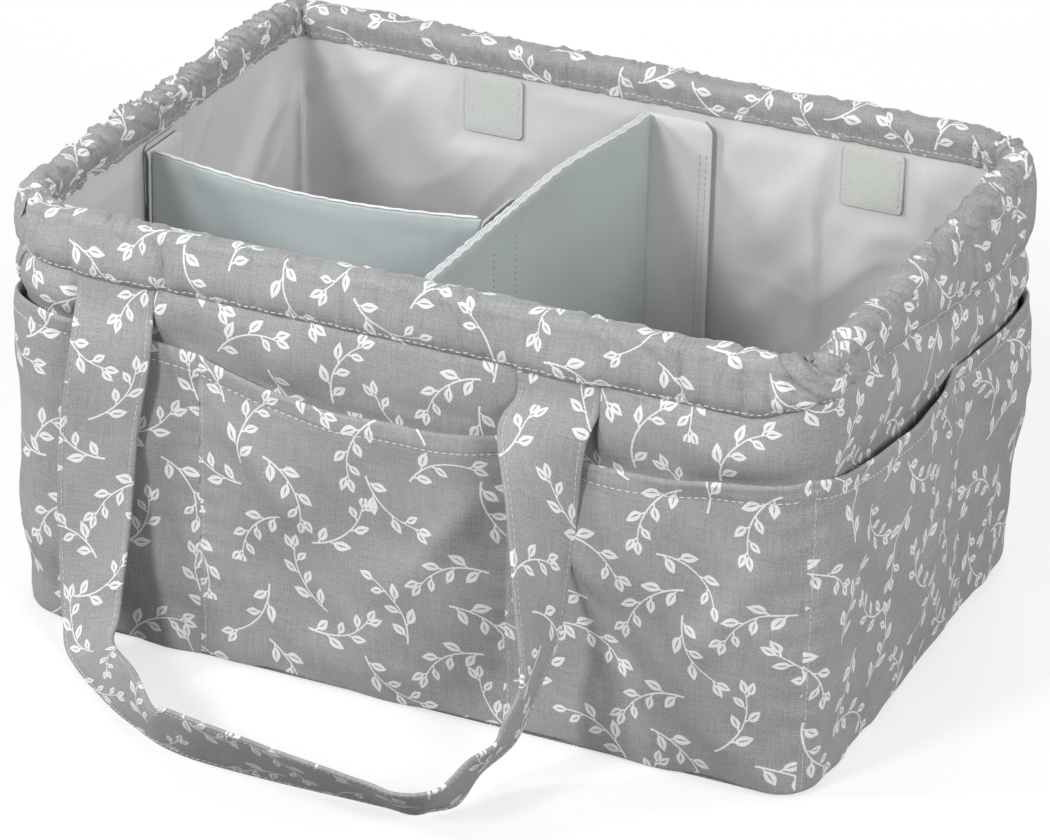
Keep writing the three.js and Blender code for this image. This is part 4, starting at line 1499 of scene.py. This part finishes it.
# All rows but the first two and the last two are rounded results of a least-squares fit of the strap's
# two edges to its outlines on the photograph, and weren't chosen by hand.
STRAP_STATIONS = (
    (-0.5, 0.02885, 1, (1, 0, 0)),
    (-0.5, 0.04808, 0.94, (1, 0, 0)),
    (-0.491, 0.128, 0.828, (1, 0.09, 0)),
    (-0.516, 0.143, 0.592, (1, 0.06, 0.13)),
    (-0.524, 0.159, 0.371, (1, -0.03, 0.15)),
    (-0.521, 0.2, 0.189, (1, -0.19, 0.28)),
    (-0.509, 0.252, 0.079, (1, -0.28, 0.44)),
    (-0.48, 0.352, 0.016, (1, -0.41, 0.69)),
    (-0.342, 0.604, 0.012, (0.78, -0.48, 1)),
    (-0.242, 0.751, 0.012, (0.84, -0.83, 1)),
    (-0.154, 0.85, 0.011, (0.29, -0.62, 1)),
    (-0.002, 0.909, 0.019, (0.12, -0.67, 1)),
    (0.303, 0.9135, 0.019, (0.2, -0.99, 1)),
    (0.39, 0.9135, 0.013, (0.23, -1, 0.92)),
    (0.44, 0.842, 0.012, (0.55, -0.9, 1)),
    (0.472, 0.709, 0.011, (0.37, -0.48, 1)),
    (0.493, 0.579, 0.052, (0.56, -0.7, 1)),
    (0.5185, 0.489, 0.114, (0.27, -1, 0.91)),
    (0.539, 0.401, 0.226, (0.2, -1, 0.72)),
    (0.535, 0.322, 0.382, (-0.29, -1, 0.82)),
    (0.508, 0.206, 0.621, (-0.89, -1, 0.84)),
    (0.488, 0.131, 0.85, (-1, -0.2, 0.14)),
    (0.5025, 0.04808, 0.94, (-1, 0, 0)),
    (0.5, 0.02885, 1, (-1, 0, 0)),
)


@dataclass
class Strap:
    """A carrying strap of the print, folded and topstitched along both edges.

    Each station gives the strap's distance from its middle as a share of the spacing, how far out it is
    as a share of its reach, the height of its lower edge as a share of the stitches' height, and the way
    its width points. They run from leg to leg.
    """

    wall: Wall
    body: Body
    node: str
    turn: float
    width: float = 36 * MM
    thickness: float = 2.0 * MM
    spacing: float = 199 * MM
    shift: float = -26.5 * MM
    reach: float = 104 * MM
    top: float = 165 * MM
    tuck: float = 3.6 * MM
    stitch_inset: float = 2.3 * MM
    unsewn: float = 6 * MM
    bend: tuple[float, float] = (166.5 * MM, 158 * MM)
    samples: int = 14

    def edges(self) -> tuple[Array, Array]:
        """The two edges: Catmull-Rom curves through the stations, then straight up under the cuff."""
        rows = np.array([(*station[:3], *station[3]) for station in STRAP_STATIONS])
        across = unit(rows[:, 3:6]) * self.width / 2
        x = self.shift + rows[:, 0] * self.spacing
        y = -self.wall.plan.half_y - rows[:, 1] * self.reach
        z = rows[:, 2] * self.top + np.abs(across[:, 2])
        middle = np.stack([x, y, z], axis=-1)
        place = np.linspace(0, len(rows) - 1, (len(rows) - 1) * self.samples + 1)
        number = np.minimum(place.astype(int), len(rows) - 2)
        t = (place - number)[:, None]
        tuck = np.array([0.0, 0.0, 1.0]) * np.linspace(self.tuck, self.tuck / 4, 4)[:, None]
        made = []
        for points in (middle - across, middle + across):
            long = np.concatenate([[2 * points[0] - points[1]], points, [2 * points[-1] - points[-2]]])
            a, b, c, d = (long[number + k] for k in range(4))
            square, cube = 2 * a - 5 * b + 4 * c - d, 3 * b - a - 3 * c + d
            bent = b + ((c - a) * t + square * t**2 + cube * t**3) / 2
            made.append(np.concatenate([bent[0] + tuck, bent, bent[-1] + tuck[::-1]]))
        return made[0], made[1]

    def sheet(self) -> Sheet:
        """The strap between its edges, slightly crowned, with a groove under each row of stitches."""
        first, second = self.edges()
        vs = steps(-1.0, 1.0, 0.09, 0.06)
        share = ((vs + 1) / 2)[None, :, None]
        middle = first[:, None] * (1 - share) + second[:, None] * share
        run = run_along((first + second) / 2)
        s, v = np.meshgrid(run, vs, indexing="ij")
        inset = (1 - np.abs(v)) * self.width / 2
        groove = bell(inset - self.stitch_inset, 1.5 * MM)
        puff = smooth((inset - self.stitch_inset) / (5 * MM))
        ripple = Noise(81, 9 * MM).at(s, v * 12 * MM) * bell(inset - self.stitch_inset, 5 * MM)
        thickness = self.thickness * (0.95 + 0.28 * puff - 0.30 * groove) + 0.16 * MM * ripple
        normals = unit(np.cross(np.gradient(middle, axis=0), np.gradient(middle, axis=1)))
        sway = 0.5 * MM * Noise(82, 26 * MM).at(s, v * 18 * MM) * smooth((s - 0.03) / 0.03)
        sway = sway * smooth((run[-1] - s - 0.03) / 0.03)
        cloth = np.stack([v * self.width / 2 + 0.43 + 0.3 * self.turn, s + 0.21], axis=-1)
        middle = (middle + normals * sway[..., None]) * [self.turn, self.turn, 1.0]
        return Sheet(run, vs, middle, cloth, thickness)

    def build(self) -> None:
        """Makes the strap and its four rows of stitches, two on each face."""
        strap = self.sheet()
        home = Home(Body.BAG, Slot.PRINT, (self.node,), self.body, self.bend)
        make_piece(f"{self.node}_strap", strap.shape(), PRINT, home)
        run = np.arange(self.unsewn, strap.us[-1] - self.unsewn, 1.5 * MM)
        inset = 1 - 2 * self.stitch_inset / self.width
        sewn = Stitches(gap=0.5 * MM, radius=0.16 * MM)
        rows = [
            sewn.along(*strap.on_surface(run, v + 0 * run, face))
            for v in (-inset, inset)
            for face in (1.0, -1.0)
        ]
        home = Home(Body.BAG, None, (), self.body, self.bend)
        make_piece(f"{self.node}_stitches", Shape.joined(rows), THREAD, home)


@dataclass
class Divider:
    """A lift-out divider: a satin panel, its bound top edge and a folded tab at each end."""

    name: str
    body: Body
    thickness: float = 3.6 * MM
    foot: float = 6.5 * MM
    top: float = 174 * MM
    edge_radius: float = 0.5 * MM
    edge_apart: float = 2.5 * MM
    bead: float = 0.75 * MM
    hem: float = 8 * MM
    taper: float = 0.0
    panel_drop: float = 1.1 * MM
    tab_thickness: float = 1.1 * MM
    tab_corner: float = 6 * MM
    tab_curl: float = 1.0 * MM
    tab_curl_width: float = 3.5 * MM
    tab_slack: float = 0.5 * MM
    tab_seams: tuple[float, float] = (2.2 * MM, 5.0 * MM)

    def line(self) -> tuple[Array, Array, Array]:
        """Distances along the panel's path, its x and its y. Each divider has its own."""
        raise NotImplementedError

    def head(self, along: Array) -> Array:
        """Height of the top edge along the path."""
        return self.top + 0 * along

    def panel(self) -> Sheet:
        """The panel: its path swept up, with small puckers under the bound edge and broad waves."""
        run, x, y = self.line()
        close_top = [0.98, 0.99, 0.996, 1.0]
        shares = np.concatenate([[0.0, 0.003, 0.008], np.linspace(0.02, 0.97, 52), close_top])
        s, v = np.meshgrid(run, shares, indexing="ij")
        head = self.head(run)[:, None] - self.panel_drop
        z = self.foot + (head - self.foot) * v
        under = np.exp(-(head - z) / (11 * MM))
        ends = smooth(s / (10 * MM)) * smooth((run[-1] - s) / (10 * MM))
        pucker = 0.35 * MM * np.sin(2 * math.pi * s / (9 * MM) + 5 * Noise(91, 30 * MM).at(s, z)) * under
        broad = 0.8 * MM * Noise(92, 45 * MM).at(s, z) + 0.3 * MM * Noise(93, 16 * MM).at(s + z, z)
        shift = (pucker + broad * smooth(v * 12) * smooth((1 - v) * 14)) * ends
        direction = np.stack([np.gradient(x), np.gradient(y), 0 * x], axis=-1)
        normal = unit(np.cross(direction, [0.0, 0.0, 1.0]))[:, None]
        flat = np.stack(np.broadcast_arrays(x[:, None], y[:, None], z), axis=-1)
        thickness = self.thickness * (0.82 + 0.06 * Noise(94, 22 * MM).at(s, z))
        thickness = thickness + 0.35 * MM * smooth((z - head + self.hem) / (1.2 * MM))
        thickness = thickness * (1 - self.taper * smooth(1 - (head - z) / (6 * MM)))
        return Sheet(run, shares, flat + normal * shift[..., None], np.stack([s, z], axis=-1), thickness)

    def bound_edge(self, panel: Sheet) -> Shape:
        """Two thin ridges along the top, and a row of small beads lower down between them."""
        run, _, _ = self.line()
        along = np.arange(run[0] + 1.2 * MM, run[-1] - 1.2 * MM, 0.7 * MM)
        centre, sideways = (
            np.stack([np.interp(along, run, values[:, k]) for k in range(3)], axis=-1)
            for values in (panel.middle[:, -1], panel.normals[:, -1])
        )
        centre[:, 2] = np.interp(along, run, self.head(run)) - self.edge_radius - 0.1 * MM
        uneven = self.edge_radius * (1 + 0.25 * Noise(95, 2.4 * MM).at(along, 0 * along))
        aside = self.edge_apart / 2 * unit(sideways)
        beads = self.bead * (0.6 + 0.4 * np.abs(np.sin(math.pi * along / (2.2 * MM))))
        row = tube(centre - [0.0, 0.0, self.edge_radius * 0.7], beads, 6)
        return Shape.joined([tube(centre - aside, uneven), tube(centre + aside, uneven), row])

    def tab(self, node: str) -> Sheet:
        """A tab the size of its node, with a rounded upper corner at the higher end of its width.

        Its free edge is thicker, with a groove beside it, and curls outwards, away from the panel, as
        the top does. Below the fastening tape the tab is slack and waves inwards.

        Args:
            node: The tab's CAD node.

        Returns:
            The tab as a sheet over its width and height.
        """
        low, high, thin, wide = flat_box(node)
        width = high[wide] - low[wide]
        us = steps(0.0, width, 1.3 * MM, 0.6 * MM)
        vs = np.concatenate([[0.0, 0.002, 0.004], np.linspace(0.012, 0.985, 60), [0.992, 0.998, 1.0]])
        s, v = np.meshgrid(us, vs, indexing="ij")
        from_edge = width - s
        inside = np.clip(1 - from_edge / self.tab_corner, 0.0, 0.995)
        head = high.z - self.tab_corner * (1 - np.sqrt(1 - inside**2))
        z = low.z + (head - low.z) * v
        middle = (low[thin] + high[thin]) / 2
        panel_low, panel_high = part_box(f"{self.name}_panel")
        outwards = math.copysign(1.0, middle - (panel_low[thin] + panel_high[thin]) / 2)
        curl = self.tab_curl * (1 - smooth(np.minimum(from_edge, head - z) / self.tab_curl_width))
        slack = Noise(96, 17 * MM).at(s * 0.8 + z * 0.5, z * 0.5 - s * 0.3)
        below_tape = smooth((self.top - 34 * MM - z) / (20 * MM)) * smooth(z / (20 * MM))
        wave = self.tab_slack * slack * below_tape
        points = np.zeros((*s.shape, 3))
        points[..., wide] = low[wide] + s
        points[..., thin] = middle + outwards * (curl - np.abs(wave))
        points[..., 2] = z
        groove = 0.35 * MM * bell(from_edge - 4.6 * MM, 0.9 * MM) * smooth((1 - v) * 8)
        thickness = self.tab_thickness - groove + 0.45 * MM * bell(from_edge - 2.2 * MM, 1.8 * MM)
        return Sheet(us, vs, points, np.stack([s, z], axis=-1), thickness)

    def tab_stitches(self, tab: Sheet) -> list[Shape]:
        """Two rows of stitches down the tab's free edge, on both faces."""
        v = np.linspace(0.01, 0.925, 90)
        sewn = Stitches(radius=0.2 * MM)
        rows = []
        for inset in self.tab_seams:
            u = tab.us[-1] - inset + 0 * v
            rows += [sewn.along(*tab.on_surface(u, v, face)) for face in (1.0, -1.0)]
        return rows

    def build(self, *tabs: str) -> Sheet:
        """Makes the panel, its edge and its tabs.

        Args:
            tabs: Names of the tabs' nodes.

        Returns:
            The panel.
        """
        panel = self.panel()
        node = f"{self.name}_panel"
        make_piece(f"{node}_cloth", panel.shape(), SATIN, Home(self.body, Slot.SATIN, (node,)))
        node = f"{self.name}_edge"
        make_piece(f"{node}_cord", self.bound_edge(panel), EDGE, Home(self.body, Slot.EDGE, (node,)))
        rows = []
        for node in tabs:
            tab = self.tab(node)
            make_piece(f"{node}_cloth", tab.shape(), LINING, Home(self.body, Slot.LINING, (node,)))
            rows += self.tab_stitches(tab)
        make_piece(f"{self.name}_tab_stitches", Shape.joined(rows), GREY_THREAD, Home(self.body))
        return panel


@dataclass
class MainDivider(Divider):
    """The divider from front to back, straight and then leaning towards the right wall."""

    middle: float = -7 * MM
    lean: float = 9 * MM
    straight_to: float = 35 * MM
    end: float = 118.5 * MM
    needle_lines: tuple[float, float] = (-26 * MM, -3 * MM)
    needle_heights: tuple[float, float] = (127 * MM, 161 * MM)

    def line(self) -> tuple[Array, Array, Array]:
        """From front to back: x is the middle plus the lean times a soft step of y."""
        y = steps(-self.end, self.end, 2.4 * MM, 1.6 * MM)
        x = self.middle + self.lean * smooth((y - self.straight_to) / (self.end - self.straight_to))
        return run_along(np.stack([x, y], axis=-1)), x, y

    def needle_rows(self, panel: Sheet) -> Shape:
        """The lines of stitches that hold the loop strip, seen on the other face, drawn dark as the
        painted shade of their needle holes.
        """
        run, _, y = self.line()
        z = np.linspace(*self.needle_heights, 40)
        v = (z - self.foot) / (self.top - self.panel_drop - self.foot)
        sewn = Stitches(0.9 * MM, 2.0 * MM, 0.22 * MM)
        places = (np.interp(line, y, run) + 0 * z for line in self.needle_lines)
        return Shape.joined([sewn.along(*panel.on_surface(s, v)) for s in places])


@dataclass
class CrossDivider(Divider):
    """The divider from the left wall to the main divider, bowed forwards, its top edge sagging."""

    middle: float = -20 * MM
    bow: float = 4 * MM
    sag: float = 4 * MM
    start: float = -170.5 * MM
    end: float = -13.8 * MM
    edge_radius: float = 0.42 * MM
    edge_apart: float = 0.6 * MM
    bead: float = 0.4 * MM
    taper: float = 0.6

    def line(self) -> tuple[Array, Array, Array]:
        """From left to right: y is the middle less the bow times a half sine."""
        x = steps(self.start, self.end, 2.4 * MM, 1.6 * MM)
        y = self.middle - self.bow * np.sin(math.pi * (x - self.start) / (self.end - self.start))
        return run_along(np.stack([x, y], axis=-1)), x, y

    def head(self, along: Array) -> Array:
        """The top edge sags as a half sine."""
        return self.top - self.sag * np.sin(math.pi * np.clip(along / along[-1], 0.0, 1.0))


@dataclass(frozen=True)
class Lamp:
    """A square area lamp: where it stands, the length of its side, and its power in watts."""

    name: str
    place: tuple[float, float, float]
    size: float
    power: float

    def build(self, target: Vector) -> None:
        """Adds the lamp, facing a target."""
        data = bpy.data.lights.new(self.name, "AREA")
        data.shape = "SQUARE"
        data.size = self.size
        data.energy = self.power
        lamp = bpy.data.objects.new(self.name, data)
        lamp.location = self.place
        lamp.rotation_euler = (target - Vector(self.place)).to_track_quat("-Z", "Y").to_euler()
        bpy.context.scene.collection.objects.link(lamp)


LAMPS = (
    Lamp("Key", (-1.25, -0.85, 1.0), 0.32, 14.0),
    Lamp("Front", (-0.75, -2.1, 1.35), 0.4, 29.0),
    Lamp("Right front", (1.6, -1.2, 1.2), 0.6, 20.0),
    Lamp("Right", (2.0, 0.0, 1.0), 0.7, 14.0),
    Lamp("Top", (0.0, 0.0, 2.4), 0.8, 4.0),
    Lamp("Back", (-0.5, 2.2, 0.6), 0.9, 27.0),
)


@dataclass
class Stage:
    """The photograph's viewpoint, a pale floor and soft studio light.

    The angles are in degrees, and the lens and the sensor in millimetres.
    """

    azimuth: float = 24.26
    elevation: float = 26.10
    roll: float = 1.29
    distance: float = 2.124
    aside: float = 0.75 * MM
    above: float = 66.0 * MM
    lens: float = 166.75
    sensor: float = 36.0
    farthest: float = 60.0
    lit_height: float = 80 * MM
    sky: float = 0.14
    floor_half: float = 9.0
    floor_seen: tuple[int, int, int] = (160, 160, 160)
    floor_felt: tuple[int, int, int] = (125, 125, 125)
    floor_glow: float = 0.66

    def camera(self) -> None:
        """Sets the camera: back along the view, then aside and above in its own right and up."""
        a, e, r = (math.radians(angle) for angle in (self.azimuth, self.elevation, self.roll))
        back = Vector((math.sin(a) * math.cos(e), -math.cos(a) * math.cos(e), math.sin(e)))
        level = Vector((0, 0, 1)).cross(back).normalized()
        upright = back.cross(level)
        right = level * math.cos(r) + upright * math.sin(r)
        up = upright * math.cos(r) - level * math.sin(r)
        data = bpy.data.cameras.new("Viewpoint")
        data.lens = self.lens
        data.sensor_width = self.sensor
        data.clip_end = self.farthest
        view = bpy.data.objects.new("Viewpoint", data)
        axes = Matrix((right, up, back)).transposed().to_4x4()
        place = back * self.distance + right * self.aside + up * self.above
        view.matrix_world = Matrix.Translation(place) @ axes
        bpy.context.scene.collection.objects.link(view)
        bpy.context.scene.camera = view

    @staticmethod
    def seen(graph: Graph) -> Signal:
        """1 for what the camera sees, straight or mirrored by a gloss, and 0 for light on its way."""
        path = graph.node("ShaderNodeLightPath")
        straight, mirrored = (path.outputs[f"Is {kind} Ray"] for kind in ("Camera", "Glossy"))
        return Signal(graph, straight).most(Signal(graph, mirrored))

    def world(self) -> None:
        """A sky that looks white, and lights the bag from all sides at part of that strength."""
        world = bpy.data.worlds.new("Studio")
        bpy.context.scene.world = world
        graph = Graph(world)
        limits = {"Value": self.seen(graph), "To Min": self.sky, "To Max": 1.0}
        strength = graph.node("ShaderNodeMapRange", inputs=limits)
        white = {"Color": (1.0, 1.0, 1.0, 1.0), "Strength": strength.outputs[0]}
        sky = graph.node("ShaderNodeBackground", inputs=white)
        graph.node("ShaderNodeOutputWorld", inputs={"Surface": sky.outputs[0]})

    def floor(self) -> None:
        """A wide pale floor. A glow of its own makes it white to the camera, and the bag gets less."""
        half = self.floor_half
        mesh = bpy.data.meshes.new("Floor")
        corners = [(-half, -half, 0), (half, -half, 0), (half, half, 0), (-half, half, 0)]
        mesh.from_pydata(corners, [], [(0, 1, 2, 3)])
        floor = bpy.data.objects.new("Floor", mesh)
        bpy.context.scene.collection.objects.link(floor)
        graph = Graph(bpy.data.materials.new("Studio floor"))
        seen = self.seen(graph)
        colour = graph.mix(seen, tone(*self.floor_felt), tone(*self.floor_seen))
        plain = graph.node("ShaderNodeBsdfDiffuse", inputs={"Color": colour})
        light = graph.node("ShaderNodeEmission", inputs={"Strength": seen * self.floor_glow})
        both = graph.node("ShaderNodeAddShader", inputs={0: plain.outputs[0], 1: light.outputs[0]})
        graph.node("ShaderNodeOutputMaterial", inputs={"Surface": both.outputs[0]})
        mesh.materials.append(graph.owner)

    def build(self) -> None:
        """Sets up the view, the light and the floor."""
        bpy.context.scene.view_settings.view_transform = "Standard"
        self.camera()
        self.world()
        self.floor()
        for lamp in LAMPS:
            lamp.build(Vector((0.0, 0.0, self.lit_height)))


def dress_hidden_parts(nodes: dict[str, bpy.types.Object]) -> None:
    """Gives the boards and the elastic inside the wall their own finish."""
    for name, node in nodes.items():
        finish = BOARD if "board" in name else ELASTIC if name == "rim_elastic" else None
        if finish:
            node.data.materials.clear()
            node.data.materials.append(finish.material())


def main() -> None:
    """Builds the caddy's looks round its frame."""
    logging.basicConfig(level=logging.INFO, format="%(message)s")
    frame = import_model()
    Stage().build()
    plan = Plan(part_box("board_right")[1].x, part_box("board_back")[1].y, 14 * MM, 32 * MM)
    wall = Wall(plan)
    Covers(wall).build()
    Rim(wall).build()
    Pockets(wall).build()
    Lining(wall).build()
    FasteningTape().build()
    Strap(wall, Body.FRONT_HANDLE, "handle_front", 1.0).build()
    Strap(wall, Body.BACK_HANDLE, "handle_back", -1.0).build()
    main_divider = MainDivider("main_divider", Body.MAIN_DIVIDER)
    panel = main_divider.build("main_divider_tab_back", "main_divider_tab_front")
    needle_rows = main_divider.needle_rows(panel)
    make_piece("main_divider_needle_rows", needle_rows, NEEDLE_HOLE_SHADE, Home(Body.MAIN_DIVIDER))
    cross_divider = CrossDivider("cross_divider", Body.CROSS_DIVIDER)
    cross_divider.build("cross_divider_tab_left", "cross_divider_tab_inner")
    dress_hidden_parts(frame["nodes"])


if __name__ == "__main__":
    main()
